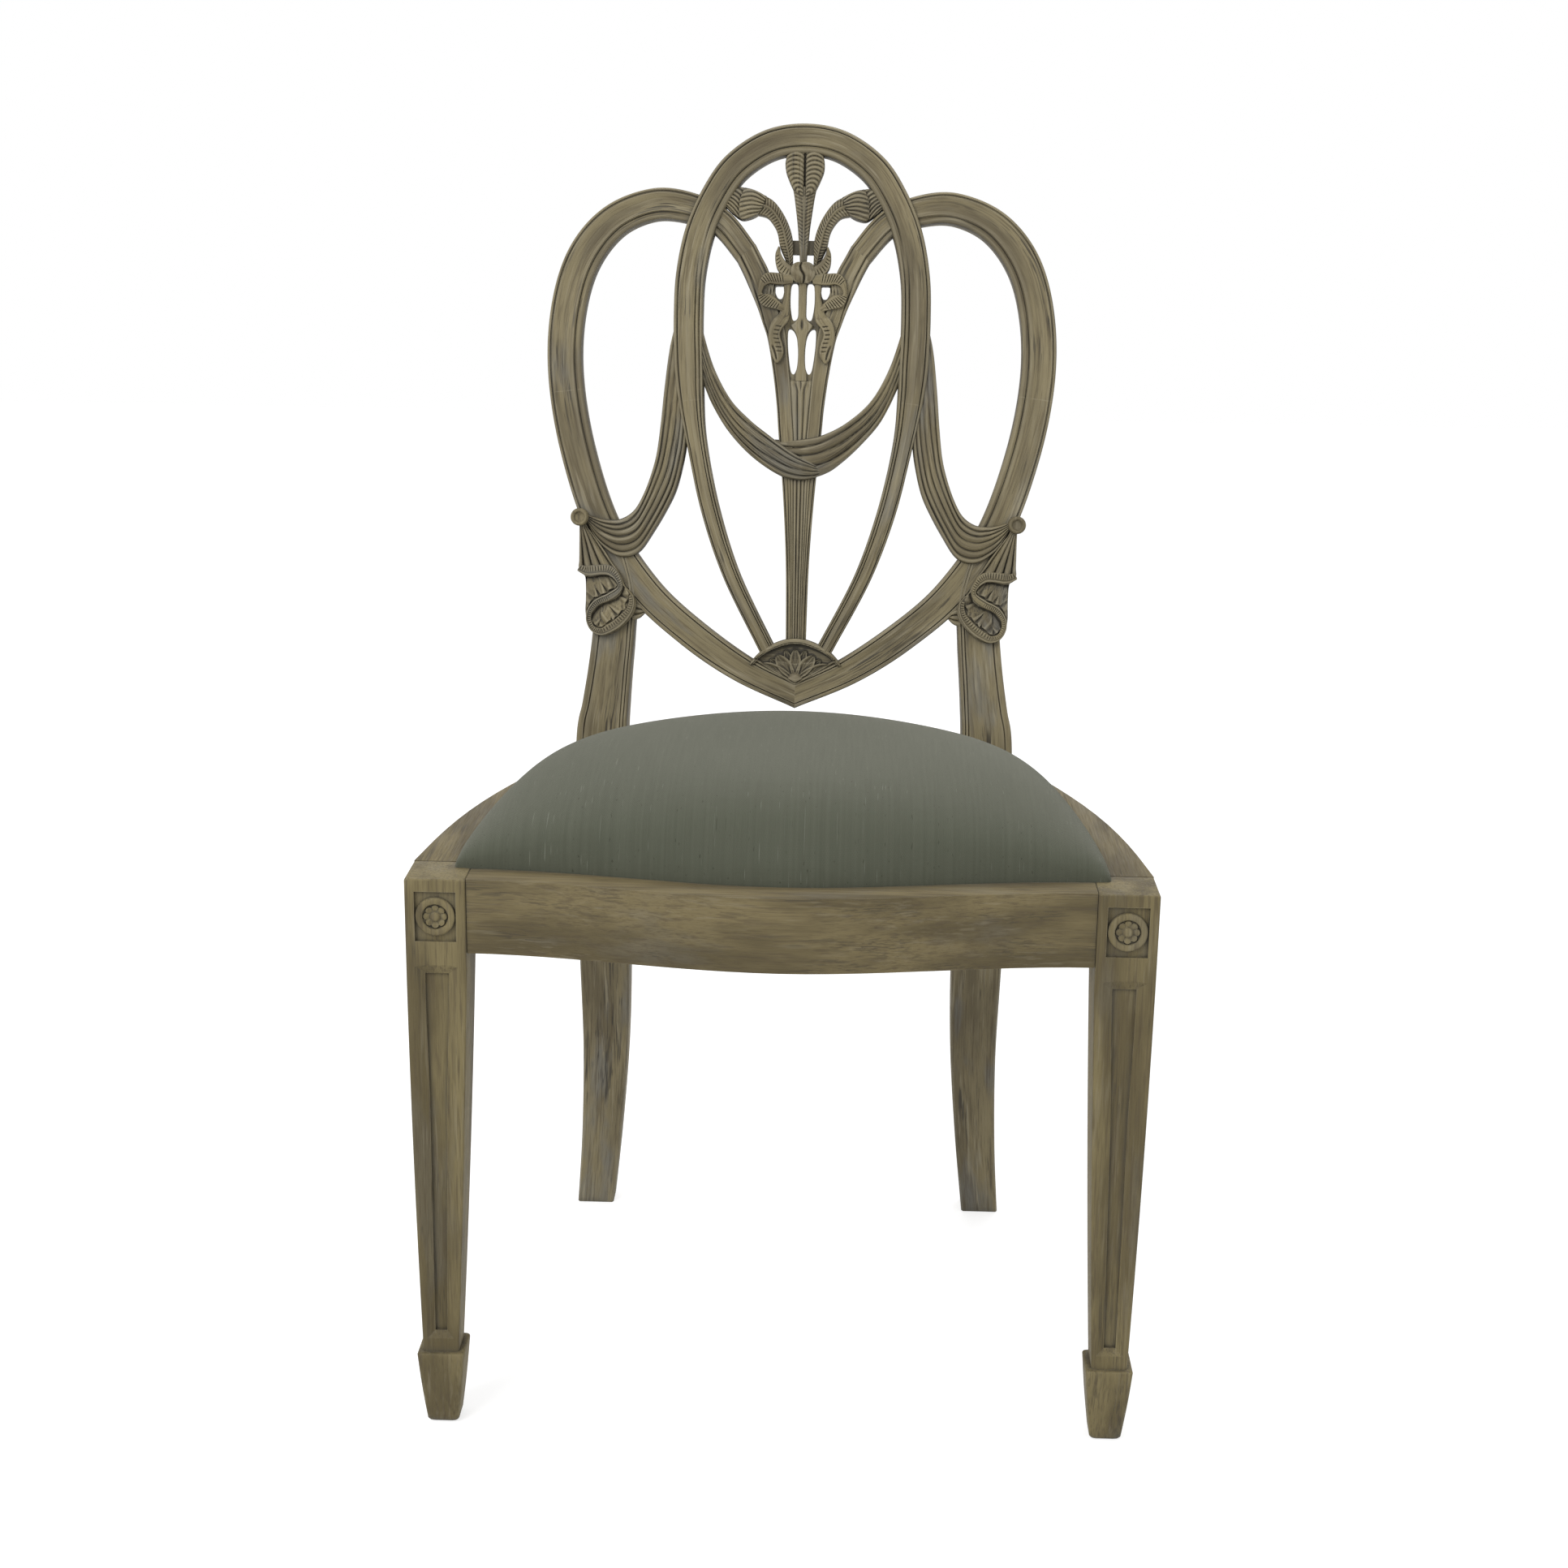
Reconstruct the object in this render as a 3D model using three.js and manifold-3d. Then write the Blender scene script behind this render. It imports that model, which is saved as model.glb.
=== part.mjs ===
// Side chair with a heart shaped, pierced shield back and a seat that drops into the frame.
// Millimetres, +Z up. The chair faces -Y and stands on the floor at z = 0, with x = 0 on its
// plane of symmetry. The back is drawn flat, in x and in height above the rails, and then leaned.
import * as THREE from 'three';
import { mergeVertices } from 'three/addons/utils/BufferGeometryUtils.js';
import Module from 'manifold-3d';

const wasm = await Module();
wasm.setup();

// Gaps and small edges that every joint shares.
const fit = 0.3;
const overrun = 6;
const weld = 0.001;
const arris = 1.2;

// Seat frame.
const seatWidth = 540;
const railTop = 438;
const railHeight = 56;
const railBow = 28;
const railSetback = 2;
const sideBow = 15;
const frontLedge = 27;
const sideLedge = 32;
const seatSupport = 10;
const rebateDepth = 14;
const seatGap = 1;

// Front legs and spade feet.
const legWidth = 44;
const legToe = 27;
const legSwell = 1.6;
const toeSpread = 4.5;
const blockHeight = 72;
const footHeight = 61;
const footTop = 35.5;
const footSole = 24;
const footRound = 3;
const footTenon = 16;
const footTenonLength = 42;
const panelWidth = 30;
const panelHeight = 37.5;
const panelDrop = 9.5;
const panelDepth = 3;
const fluteDrop = 73;
const fluteEnd = 15;
const fluteMargin = 6.5;
const fluteDepth = 4;
const fluteBevel = 5;

// Rosettes in the square panels.
const rosetteRadius = 14.4;
const rosetteRim = 4.6;
const rosetteHeight = 3.4;
const rosetteDish = 1.6;
const bossRadius = 3.2;

// Rear legs, measured at the rails, and the lean of the back.
const rearFace = 355;
const rearSpan = 332;
const rearLegWidth = 43.5;
const rearLegDepth = 36;
const rearSweep = 43;
const leanShare = 0.18;

// Shield back.
const shieldHalf = 213.5;
const backLength = 529.5;
const backThick = 21;
const tipWidth = 21.5;
const shieldRailWidth = 26;
const stileWidth = 28.5;
const lobeWidth = 25.5;
const braceWidth = 19;
const hoopWidth = 24.5;
const barWidth = 16;
const barToe = 13.5;
const hoopProud = 3;
const hoopThick = 20;
const halving = 8;
const splatSet = 1;
const splatThick = 16;
const carvingProud = 7;
const carvingThick = 20;
const tailProud = 8;
const ribbonWidth = 8;
const ribbonProud = 3.5;
const quillWidth = 9;
const headWidth = 25;
const middleHead = 33;
const fanRecess = 4;
const fanRim = 4.5;
const fanBoss = 7;
const knobRadius = 7.5;
const knobHeight = 5;
const spigotRadius = 3;
const spigotLength = 9;

// Joints.
const tenonThick = 12;
const tenonLength = 16;
const tenonShoulder = 10;
const dowelRadius = 4;
const dowelLength = 36;

// Corner blocks and their screws.
const blockReach = 110;
const rearBlockReach = 72;
const blockGap = 4;
const screwLength = 36;
const screwRadius = 2;
const screwHead = 4.4;
const screwStagger = 9;

// Drop-in seat.
const frameThick = 16;
const frameWidth = 45;
const coverThick = 1.5;
const wallHeight = 18;
const crownHeight = 57;
const webWidth = 50;
const webThick = 1.5;
const webPitch = 80;
const webTack = 25;
const dustThick = 1.2;
const dustInset = 12;

// Sizes that follow from those above.
const legX = seatWidth / 2 - legWidth / 2;
const legY = legWidth / 2;
const legInner = seatWidth / 2 - legWidth;
const railBottom = railTop - railHeight;
const rebateFloor = railTop - rebateDepth;
const seatBack = rearFace - seatGap - fit;
const seatBottom = rebateFloor + fit;
const frameTop = seatBottom + frameThick;
const lean = Math.atan(leanShare);

// Outline points of the back: shares of the shield's half width and of the back's length.
const shieldShares = [
  [0, 0.102], [0.21, 0.141], [0.42, 0.198], [0.61, 0.267], [0.773, 0.363], [0.878, 0.484],
  [0.93, 0.6], [0.925, 0.7], [0.867, 0.785], [0.75, 0.845], [0.59, 0.873], [0.44, 0.868],
  [0.323, 0.846], [0.225, 0.8],
];
const hoopShares = [
  [0, 0.977], [0.14, 0.967], [0.267, 0.933], [0.347, 0.887], [0.407, 0.831], [0.44, 0.765],
  [0.447, 0.7], [0.443, 0.633], [0.431, 0.567], [0.405, 0.497], [0.348, 0.394], [0.26, 0.291],
  [0.13, 0.187],
];
const splatOuterShares = [
  [0.281, 0.801], [0.239, 0.776], [0.187, 0.725], [0.147, 0.674], [0.119, 0.623], [0.095, 0.572],
  [0.083, 0.521], [0.066, 0.446], [0.052, 0.368], [0.042, 0.291], [0.039, 0.19],
];
const splatInnerShares = [
  [0, 0.775], [0.055, 0.78], [0.085, 0.8], [0.105, 0.795], [0.105, 0.77], [0.131, 0.775],
  [0.17, 0.801],
];
const lowerSlotShares = [[0.014, 0.614], [0.04, 0.62], [0.052, 0.66], [0.04, 0.685], [0.014, 0.672]];
const upperSlotShares = [[0.016, 0.7], [0.04, 0.705], [0.05, 0.72], [0.048, 0.745], [0.016, 0.75]];
const loopShares = [[0.066, 0.763], [0.122, 0.763], [0.14, 0.742], [0.105, 0.724], [0.07, 0.721]];
const streamerShares = [[0.06, 0.712], [0.073, 0.697], [0.105, 0.68], [0.105, 0.657], [0.092, 0.633]];
const quillShares = [
  [0.055, 0.8], [0.07, 0.823], [0.095, 0.848], [0.133, 0.868], [0.178, 0.879], [0.233, 0.876],
  [0.28, 0.865],
];
const middlePlumeShares = [[0, 0.775], [0, 0.87], [0, 0.915], [0, 0.953]];
const swagUpperShares = [
  [0.4, 0.71], [0.328, 0.624], [0.267, 0.574], [0.215, 0.549], [0.13, 0.522], [0, 0.512],
];
const swagLowerShares = [
  [0.4, 0.6], [0.361, 0.573], [0.328, 0.548], [0.29, 0.522], [0.239, 0.497], [0.17, 0.472],
  [0.084, 0.453], [0, 0.446],
];
const drapeOuterShares = [
  [0.511, 0.68], [0.541, 0.57], [0.559, 0.518], [0.581, 0.48], [0.612, 0.441], [0.65, 0.408],
  [0.689, 0.388], [0.745, 0.382], [0.81, 0.388], [0.85, 0.392],
];
const drapeInnerShares = [
  [0.43, 0.68], [0.44, 0.57], [0.45, 0.502], [0.472, 0.468], [0.511, 0.416], [0.548, 0.378],
  [0.597, 0.342], [0.646, 0.323], [0.693, 0.319], [0.738, 0.33], [0.778, 0.35], [0.82, 0.373],
];
const tailShares = [
  [0.835, 0.4], [0.885, 0.385], [0.89, 0.345], [0.876, 0.295], [0.838, 0.283], [0.82, 0.213],
  [0.782, 0.195], [0.729, 0.192], [0.665, 0.208], [0.63, 0.235], [0.66, 0.27], [0.71, 0.29],
  [0.76, 0.33],
];
const fanTopShares = [[0, 0.197], [0.07, 0.192], [0.125, 0.178], [0.175, 0.155]];
const fanFootShares = [[0.175, 0.14], [0, 0.1]];
const knobShare = [0.862, 0.379];

// Where the bands are jointed, as shares of the shield's half and of the hoop's half, and how far
// a part runs on under its neighbour.
const cornerShare = 0.269;
const stileShare = 0.446;
const hoopJointShare = 0.667;
const tuckShare = 0.038;

// Stations of a rear leg, as shares of their sizes at the rails: height, middle, width, sweep
// and depth. Stations of the post over it: height, middle as a share of the rear span's half
// and as a share of the shield's half, width and depth.
const rearLegShares = [
  [0, 1.06, 0.75, 1, 0.8], [0.17, 1.018, 0.81, 0.68, 0.86], [0.365, 0.987, 0.9, 0.37, 0.92],
  [0.55, 0.982, 0.985, 0.14, 0.97], [0.71, 0.988, 1, 0.01, 1], [0.87, 0.996, 1, -0.05, 1],
];
const postShares = [
  [0.03, 0.99, 0.77, 0.98, 1], [0.083, 0.972, 0.756, 0.9, 0.92], [0.136, 0.953, 0.741, 0.845, 0.8],
  [0.19, 0.936, 0.728, 0.82, 0.68], [0.26, 0.925, 0.719, 0.78, 0.6], [0.32, 0.95, 0.739, 0.62, 0.59],
];

// Wood, cloth and the hidden materials.
const finishes = {
  wood: { color: 0x7c705a, roughness: 0.75, metalness: 0 },
  cloth: { color: 0x67705f, roughness: 0.95, metalness: 0 },
  beech: { color: 0xb89468, roughness: 0.8, metalness: 0 },
  web: { color: 0x8a7a5c, roughness: 0.95, metalness: 0 },
  foam: { color: 0xe6dfc8, roughness: 0.95, metalness: 0 },
  dust: { color: 0x2c2c2c, roughness: 0.95, metalness: 0 },
  steel: { color: 0x9a9a98, roughness: 0.4, metalness: 1 },
};

// Geometry helpers.

// Turns a closed geometry into a solid that can be joined and cut.
function solid(geometry) {
  const bare = geometry.clone();
  bare.deleteAttribute('normal');
  bare.deleteAttribute('uv');
  const merged = mergeVertices(bare, weld);
  return new wasm.Manifold(new wasm.Mesh({
    numProp: 3,
    vertProperties: new Float32Array(merged.attributes.position.array),
    triVerts: new Uint32Array(merged.index.array),
  }));
}

function geometryOf(body) {
  const { vertProperties, triVerts } = body.getMesh();
  const geometry = new THREE.BufferGeometry();
  geometry.setAttribute('position', new THREE.BufferAttribute(vertProperties, 3));
  geometry.setIndex(new THREE.BufferAttribute(triVerts, 1));
  geometry.computeVertexNormals();
  return geometry;
}

// Skins a row of rings and closes both ends. flat gives a ring point's place in its own plane.
function loft(rings, flat) {
  const count = rings[0].length;
  const index = [];
  for (let i = 0; i < rings.length - 1; i += 1) {
    for (let j = 0; j < count; j += 1) {
      const a = i * count + j;
      const b = i * count + ((j + 1) % count);
      index.push(a, b, a + count, b, b + count, a + count);
    }
  }
  const last = (rings.length - 1) * count;
  const closed = new THREE.BufferGeometry().setFromPoints(rings.flat());
  const caps = THREE.ShapeUtils.triangulateShape(rings[0].map(flat), []);
  const turned = THREE.ShapeUtils.area(rings[0].map(flat)) < 0;
  const lastTurned = THREE.ShapeUtils.area(rings[rings.length - 1].map(flat)) < 0;
  const lastCaps = THREE.ShapeUtils.triangulateShape(rings[rings.length - 1].map(flat), []);
  capTriangles(index, caps, 0, !turned);
  capTriangles(index, lastCaps, last, lastTurned);
  closed.setIndex(index);
  return outward(closed);
}

function capTriangles(index, triangles, start, flip) {
  triangles.forEach(([a, b, c]) => {
    const order = flip ? [a, c, b] : [a, b, c];
    order.forEach((corner) => index.push(start + corner));
  });
}

// Turns a closed geometry's faces outwards if they point in.
function outward(geometry) {
  const place = geometry.attributes.position;
  const index = Array.from(geometry.index.array);
  const a = new THREE.Vector3();
  const b = new THREE.Vector3();
  const c = new THREE.Vector3();
  let volume = 0;
  for (let i = 0; i < index.length; i += 3) {
    a.fromBufferAttribute(place, index[i]);
    b.fromBufferAttribute(place, index[i + 1]);
    c.fromBufferAttribute(place, index[i + 2]);
    volume += a.dot(b.cross(c));
  }
  if (volume < 0) {
    geometry.setIndex(index.reverse());
  }
  return geometry;
}

const inPlan = (p) => new THREE.Vector2(p.x, p.y);
const inFront = (p) => new THREE.Vector2(p.x, p.z);
const inSide = (p) => new THREE.Vector2(p.y, p.z);

// A rectangle in plan with its corners taken off.
function cornered(x, y, z, width, depth, corner) {
  const w = width / 2;
  const d = depth / 2;
  const points = [
    [-w + corner, -d], [w - corner, -d], [w, -d + corner], [w, d - corner],
    [w - corner, d], [-w + corner, d], [-w, d - corner], [-w, -d + corner],
  ];
  return points.map(([dx, dy]) => new THREE.Vector3(x + dx, y + dy, z));
}

function box(x0, x1, y0, y1, z0, z1) {
  const geometry = new THREE.BoxGeometry(x1 - x0, y1 - y0, z1 - z0);
  geometry.translate((x0 + x1) / 2, (y0 + y1) / 2, (z0 + z1) / 2);
  return solid(geometry);
}

// A slab with an outline in x and height, from its front to its back face.
function plate(outline, front, back, edge = 0) {
  const shape = new THREE.Shape(outline);
  const geometry = new THREE.ExtrudeGeometry(shape, {
    depth: back - front - 2 * edge,
    bevelEnabled: edge > 0,
    bevelThickness: edge,
    bevelSize: edge,
    bevelOffset: -edge,
    bevelSegments: 1,
  });
  geometry.translate(0, 0, edge);
  geometry.rotateX(Math.PI / 2);
  geometry.translate(0, back, 0);
  return solid(geometry);
}

// A slab with an outline in plan, from its underside to its top.
function slab(outline, bottom, top) {
  const geometry = new THREE.ExtrudeGeometry(new THREE.Shape(outline), {
    depth: top - bottom,
    bevelEnabled: false,
  });
  geometry.translate(0, 0, bottom);
  return solid(geometry);
}

function mirrored(body) {
  return body.mirror([1, 0, 0]);
}

const side = { left: -1, right: 1 };

function sided(body, name) {
  return side[name] < 0 ? mirrored(body) : body;
}

// Drawing on the flat of the back.

function at([across, up]) {
  return new THREE.Vector2(across * shieldHalf, up * backLength);
}

function curveThrough(shares) {
  return new THREE.SplineCurve(shares.map(at));
}

function stepped(curve, steps) {
  return curve.getPoints(steps);
}

// A value that runs through [place, value] pairs, easing from one to the next.
function eased(pairs, place) {
  const next = pairs.findIndex(([where]) => where >= place);
  if (next < 0) {
    return pairs[pairs.length - 1][1];
  }
  if (next === 0) {
    return pairs[0][1];
  }
  const [p0, v0] = pairs[next - 1];
  const [p1, v1] = pairs[next];
  return v0 + (v1 - v0) * THREE.MathUtils.smoothstep(place, p0, p1);
}

// The outline of a band along a curve between two of its places, grown all round if asked.
// lead lengthens it before its start.
function bandOutline(curve, from, to, width, steps, grow = 0, lead = 0) {
  const one = [];
  const other = [];
  for (let i = 0; i <= steps; i += 1) {
    const place = from + (to - from) * i / steps;
    const centre = curve.getPoint(place);
    const along = curve.getTangent(place);
    const half = width(place) / 2 + grow;
    if (i === 0) {
      centre.addScaledVector(along, -grow - lead);
    }
    if (i === steps) {
      centre.addScaledVector(along, grow);
    }
    one.push(new THREE.Vector2(centre.x - along.y * half, centre.y + along.x * half));
    other.push(new THREE.Vector2(centre.x + along.y * half, centre.y - along.x * half));
  }
  return one.concat(other.reverse());
}

// Places a solid that was drawn upright over the rails at the lean of the back.
const backFrame = new THREE.Matrix4()
  .makeTranslation(0, rearFace, railTop)
  .multiply(new THREE.Matrix4().makeRotationX(-lean));

// Turned pieces.

// A solid of revolution about its own z axis, from [radius, height] pairs.
function turned(profile, sides) {
  const points = profile.map(([radius, height]) => new THREE.Vector2(radius, height));
  const geometry = new THREE.LatheGeometry(points, sides);
  geometry.rotateX(Math.PI / 2);
  return geometry;
}

function dowelGeometry(grow) {
  const radius = dowelRadius + grow;
  const half = dowelLength / 2 + grow;
  return turned([[0, -half], [radius, -half], [radius, half], [0, half]], 10);
}

// Front legs, feet and rosettes.

const shoulder = railTop - blockHeight;
const taperSpan = shoulder - footHeight;

// The leg's middle and width at a height. The taper is cut mostly from the two hidden faces.
function taper(z) {
  const down = THREE.MathUtils.clamp((shoulder - z) / taperSpan, 0, 1);
  const swell = legSwell * 4 * down * (1 - down);
  const width = legWidth + (legToe - legWidth) * down + swell;
  return { x: legX + toeSpread * down, y: legY - toeSpread * down, width };
}

function legSolid(grow) {
  const ring = (z, level) => {
    const { x, y, width } = taper(z);
    return cornered(x, y, level, width + 2 * grow, width + 2 * grow, arris);
  };
  const levels = [1 / 3, 2 / 3, 1].map((share) => footHeight + taperSpan * share);
  const top = cornered(legX, legY, railTop + grow, legWidth - 2 * arris, legWidth - 2 * arris, arris);
  return solid(loft([
    ring(footHeight, footHeight + fit - grow), ...levels.map((z) => ring(z, z)),
    ring(railTop, railTop - arris), top,
  ], inPlan));
}

function footTenonSolid(grow) {
  const half = footTenon / 2 + grow;
  const { x, y } = taper(footHeight);
  const low = footHeight - footTenonLength - grow;
  return box(x - half, x + half, y - half, y + half, low, footHeight + overrun);
}

// The sunk square panel at the head of a leg.
function panelCutter() {
  const half = panelWidth / 2;
  const top = railTop - panelDrop;
  return box(legX - half, legX + half, -overrun, panelDepth, top - panelHeight, top);
}

// The long tapered flute in the face of a leg, with bevelled sides.
function fluteCutter() {
  const top = railTop - fluteDrop;
  const bottom = footHeight + fluteEnd;
  const heights = [0, 1 / 3, 2 / 3, 1].map((share) => top + (bottom - top) * share);
  const edge = (z, way, inset, depth) => {
    const { x, y, width } = taper(z);
    return new THREE.Vector3(x + way * (width / 2 - fluteMargin - inset), y - width / 2 + depth, z);
  };
  const ring = (inset, depth) => {
    const levels = [heights[0] - inset, heights[1], heights[2], heights[3] + inset];
    const up = levels.slice().reverse().map((z) => edge(z, 1, inset, depth));
    return levels.map((z) => edge(z, -1, inset, depth)).concat(up);
  };
  return solid(loft([ring(0, -overrun), ring(0, 0), ring(fluteBevel, fluteDepth)], inFront));
}

function footSolid() {
  const { x, y } = taper(footHeight);
  const rings = [
    cornered(x, y, 0, footSole - 2 * footRound, footSole - 2 * footRound, arris),
    cornered(x, y, footRound, footSole, footSole, arris),
    cornered(x, y, footHeight - arris, footTop, footTop, arris),
    cornered(x, y, footHeight, footTop - 2 * arris, footTop - 2 * arris, arris),
  ];
  return solid(loft(rings, inPlan)).subtract(footTenonSolid(fit));
}

function rosetteSolid() {
  const inner = rosetteRadius - rosetteRim;
  const low = rosetteHeight - rosetteDish;
  const profile = [
    [0, 0], [rosetteRadius, 0], [rosetteRadius, low], [rosetteRadius - rosetteRim / 4, rosetteHeight],
    [inner + rosetteRim / 4, rosetteHeight], [inner, low], [bossRadius * 2, low + rosetteDish / 2],
    [bossRadius, low], [bossRadius, rosetteHeight - fit], [0, rosetteHeight],
  ];
  const geometry = turned(profile, 20);
  geometry.rotateX(Math.PI / 2);
  geometry.translate(legX, panelDepth - fit, railTop - panelDrop - panelHeight / 2);
  return solid(geometry);
}

// Seat frame.

// The face of the front rail: level at the legs and bowed out in the middle.
function frontFace(x) {
  const share = Math.min(1, Math.abs(x) / legInner);
  return railSetback - railBow * (1 - THREE.MathUtils.smoothstep(share, 0, 1));
}

// The outer face of a side rail, bowed out between the legs.
function sideFace(y) {
  const share = THREE.MathUtils.clamp((y - legWidth) / (rearFace - legWidth), 0, 1);
  const rear = rearSpan / 2 + rearLegWidth / 2;
  return seatWidth / 2 + (rear - seatWidth / 2) * share + sideBow * Math.sin(Math.PI * share);
}

function railRing(low, high, near, far, make) {
  return [[near, low], [near, high], [far, high], [far, low]].map(([across, z]) => make(across, z));
}

function frontRailSolid(grow) {
  const half = legInner - fit + grow;
  const steps = 24;
  const rings = [];
  for (let i = 0; i <= steps; i += 1) {
    const x = -half + 2 * half * i / steps;
    const face = frontFace(x);
    const back = face + frontLedge + seatSupport;
    rings.push(railRing(railBottom - grow, railTop + grow, face - grow, back + grow,
      (y, z) => new THREE.Vector3(x, y, z)));
  }
  return solid(loft(rings, inSide));
}

function sideRailSolid(grow) {
  const start = legWidth + fit - grow;
  const end = rearFace + overrun + grow;
  const steps = 12;
  const rings = [];
  for (let i = 0; i <= steps; i += 1) {
    const y = start + (end - start) * i / steps;
    const face = sideFace(y);
    const inner = face - sideLedge - seatSupport;
    rings.push(railRing(railBottom - grow, railTop + grow, inner - grow, face + grow,
      (x, z) => new THREE.Vector3(x, y, z)));
  }
  return solid(loft(rings, inFront));
}

const rearRailFace = seatBack + seatGap - seatSupport;
const rearRailDepth = seatSupport + rearLegDepth * 0.7;

function rearRailSolid(grow) {
  const half = rearSpan / 2 + overrun;
  return box(-half, half, rearRailFace - grow, rearRailFace + rearRailDepth + grow,
    railBottom - grow, railTop + grow);
}

const tenonLow = railBottom + tenonShoulder;
const tenonHigh = rebateFloor - tenonShoulder / 2;

// Tenons of the right hand corner joints.
function frontTenon(grow) {
  const middle = frontFace(legInner) + legWidth * 0.4;
  return box(legInner - overrun, legInner + tenonLength + grow, middle - tenonThick / 2 - grow,
    middle + tenonThick / 2 + grow, tenonLow - grow, tenonHigh + grow);
}

function sideTenon(grow) {
  const middle = seatWidth / 2 - legWidth * 0.45;
  return box(middle - tenonThick / 2 - grow, middle + tenonThick / 2 + grow,
    legWidth - tenonLength - grow, legWidth + overrun, tenonLow - grow, tenonHigh + grow);
}

function sideRearTenon(grow) {
  const middle = rearSpan / 2;
  return box(middle - tenonThick / 2 - grow, middle + tenonThick / 2 + grow,
    rearFace - 2 * overrun, rearFace + tenonLength + grow, tenonLow - grow, tenonHigh + grow);
}

function rearTenon(grow) {
  const inner = rearSpan / 2 - rearLegWidth / 2;
  const middle = rearFace + rearLegDepth * 0.6;
  return box(inner - 2 * overrun, inner + tenonThick + grow, middle - tenonThick / 4 - grow,
    middle + tenonThick / 4 + grow, tenonLow - grow, tenonHigh + grow);
}

// Rear legs and the flat bands of the shield.

const shieldCurve = curveThrough(shieldShares);
const hoopLeftShares = hoopShares.slice(1).reverse().map(([x, y]) => [-x, y]);
const hoopCurve = curveThrough(hoopLeftShares.concat(hoopShares));
const shieldSteps = 40;
const hoopSteps = 60;

function shieldWidth(place) {
  return eased([[0, tipWidth], [0.154, shieldRailWidth], [0.308, stileWidth], [0.615, stileWidth],
    [0.77, lobeWidth], [1, braceWidth]], place);
}

function hoopBandWidth(place) {
  const fromTop = Math.abs(2 * place - 1);
  return eased([[0, hoopWidth], [0.583, hoopWidth], [0.79, barWidth], [1, barToe]], fromTop);
}

// A stretch of the shield's band between two shares of its half.
function shieldBand(from, to, front, back, grow, edge = 0, lead = 0) {
  const steps = Math.ceil((to - from) * shieldSteps);
  const outline = bandOutline(shieldCurve, from, to, shieldWidth, steps, grow, lead);
  return plate(outline, front - grow, back + grow, edge);
}

// A stretch of the hoop's band, in shares of its half from its top, right hand positive.
function hoopBand(from, to, front, back, grow, edge = 0) {
  const start = (1 + from) / 2;
  const end = (1 + to) / 2;
  const steps = Math.ceil((end - start) * hoopSteps);
  const outline = bandOutline(hoopCurve, start, end, hoopBandWidth, steps, grow);
  return plate(outline, front - grow, back + grow, edge);
}

function rearLegRings(grow) {
  const half = rearSpan / 2;
  const rings = rearLegShares.map(([up, centre, wide, sweep, deep]) => {
    const depth = rearLegDepth * deep;
    const y = rearFace + rearSweep * sweep + depth / 2;
    return cornered(half * centre, y, railTop * up, rearLegWidth * wide + 2 * grow, depth + 2 * grow, arris);
  });
  const [foot, top] = [postShares[0][0], postShares[postShares.length - 3][0]];
  postShares.forEach(([up, centre, shieldCentre, wide, deep]) => {
    const depth = rearLegDepth * deep;
    const towards = THREE.MathUtils.clamp((up - foot) / (top - foot), 0, 1);
    const middle = THREE.MathUtils.lerp(half * centre, shieldHalf * shieldCentre, towards);
    const ring = cornered(middle, depth / 2, backLength * up,
      rearLegWidth * wide + 2 * grow, depth + 2 * grow, arris);
    rings.push(ring.map((point) => point.applyMatrix4(backFrame)));
  });
  return rings;
}

function leaned(body) {
  return body.transform(backFrame.toArray());
}

function upright(body) {
  return body.transform(backFrame.clone().invert().toArray());
}

// The shield rail: both halves of the V, closed at the point, with a tenon at each end.
function shieldRailSolid(grow, edge = 0) {
  const half = shieldBand(0, cornerShare, 0, backThick, grow, edge, tipWidth / 2);
  const beyond = box(-shieldHalf, -weld, -backThick, 2 * backThick, -backLength, backLength);
  const trimmed = half.subtract(beyond);
  return trimmed.add(mirrored(trimmed));
}

function railTenon(grow) {
  const steps = 3;
  const from = cornerShare - tuckShare / 2;
  const to = cornerShare + tuckShare;
  const outline = bandOutline(shieldCurve, from, to, () => tenonThick, steps, grow);
  return plate(outline, backThick / 3 - grow, backThick * 2 / 3 + grow);
}

function rearLegSolid(grow) {
  const legs = solid(loft(rearLegRings(grow), inPlan));
  const edge = grow > 0 ? 0 : arris;
  const stile = shieldBand(cornerShare - tuckShare, stileShare, 0, backThick, grow, edge);
  return legs.add(leaned(stile));
}

function lobeSolid(grow, edge = 0) {
  const gap = fit / backLength;
  return shieldBand(stileShare + gap, 1, 0, backThick, grow, edge);
}

// A place and a direction on the back, as a matrix that stands a turned piece along a curve.
function alongCurve(curve, place, depth) {
  const centre = curve.getPoint(place);
  const along = curve.getTangent(place);
  return new THREE.Matrix4()
    .makeTranslation(centre.x, depth, centre.y)
    .multiply(new THREE.Matrix4().makeRotationY(Math.atan2(along.x, along.y)));
}

function lobeDowel(grow) {
  const geometry = dowelGeometry(grow);
  geometry.applyMatrix4(alongCurve(shieldCurve, stileShare, backThick / 2));
  return solid(geometry);
}

function barDowel(grow) {
  const geometry = dowelGeometry(grow);
  const place = (1 + hoopJointShare) / 2;
  geometry.applyMatrix4(alongCurve(hoopCurve, place, hoopThick / 2 - hoopProud));
  return solid(geometry);
}

const hoopBack = hoopThick - hoopProud;

function archSolid(grow, edge = 0) {
  return hoopBand(-hoopJointShare, hoopJointShare, -hoopProud, hoopBack, grow, edge);
}

function barSolid(grow, edge = 0) {
  const gap = 2 * fit / backLength;
  return hoopBand(hoopJointShare + gap, 1, -hoopProud, hoopBack, grow, edge);
}

// Carving on the flat of the back.

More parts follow.
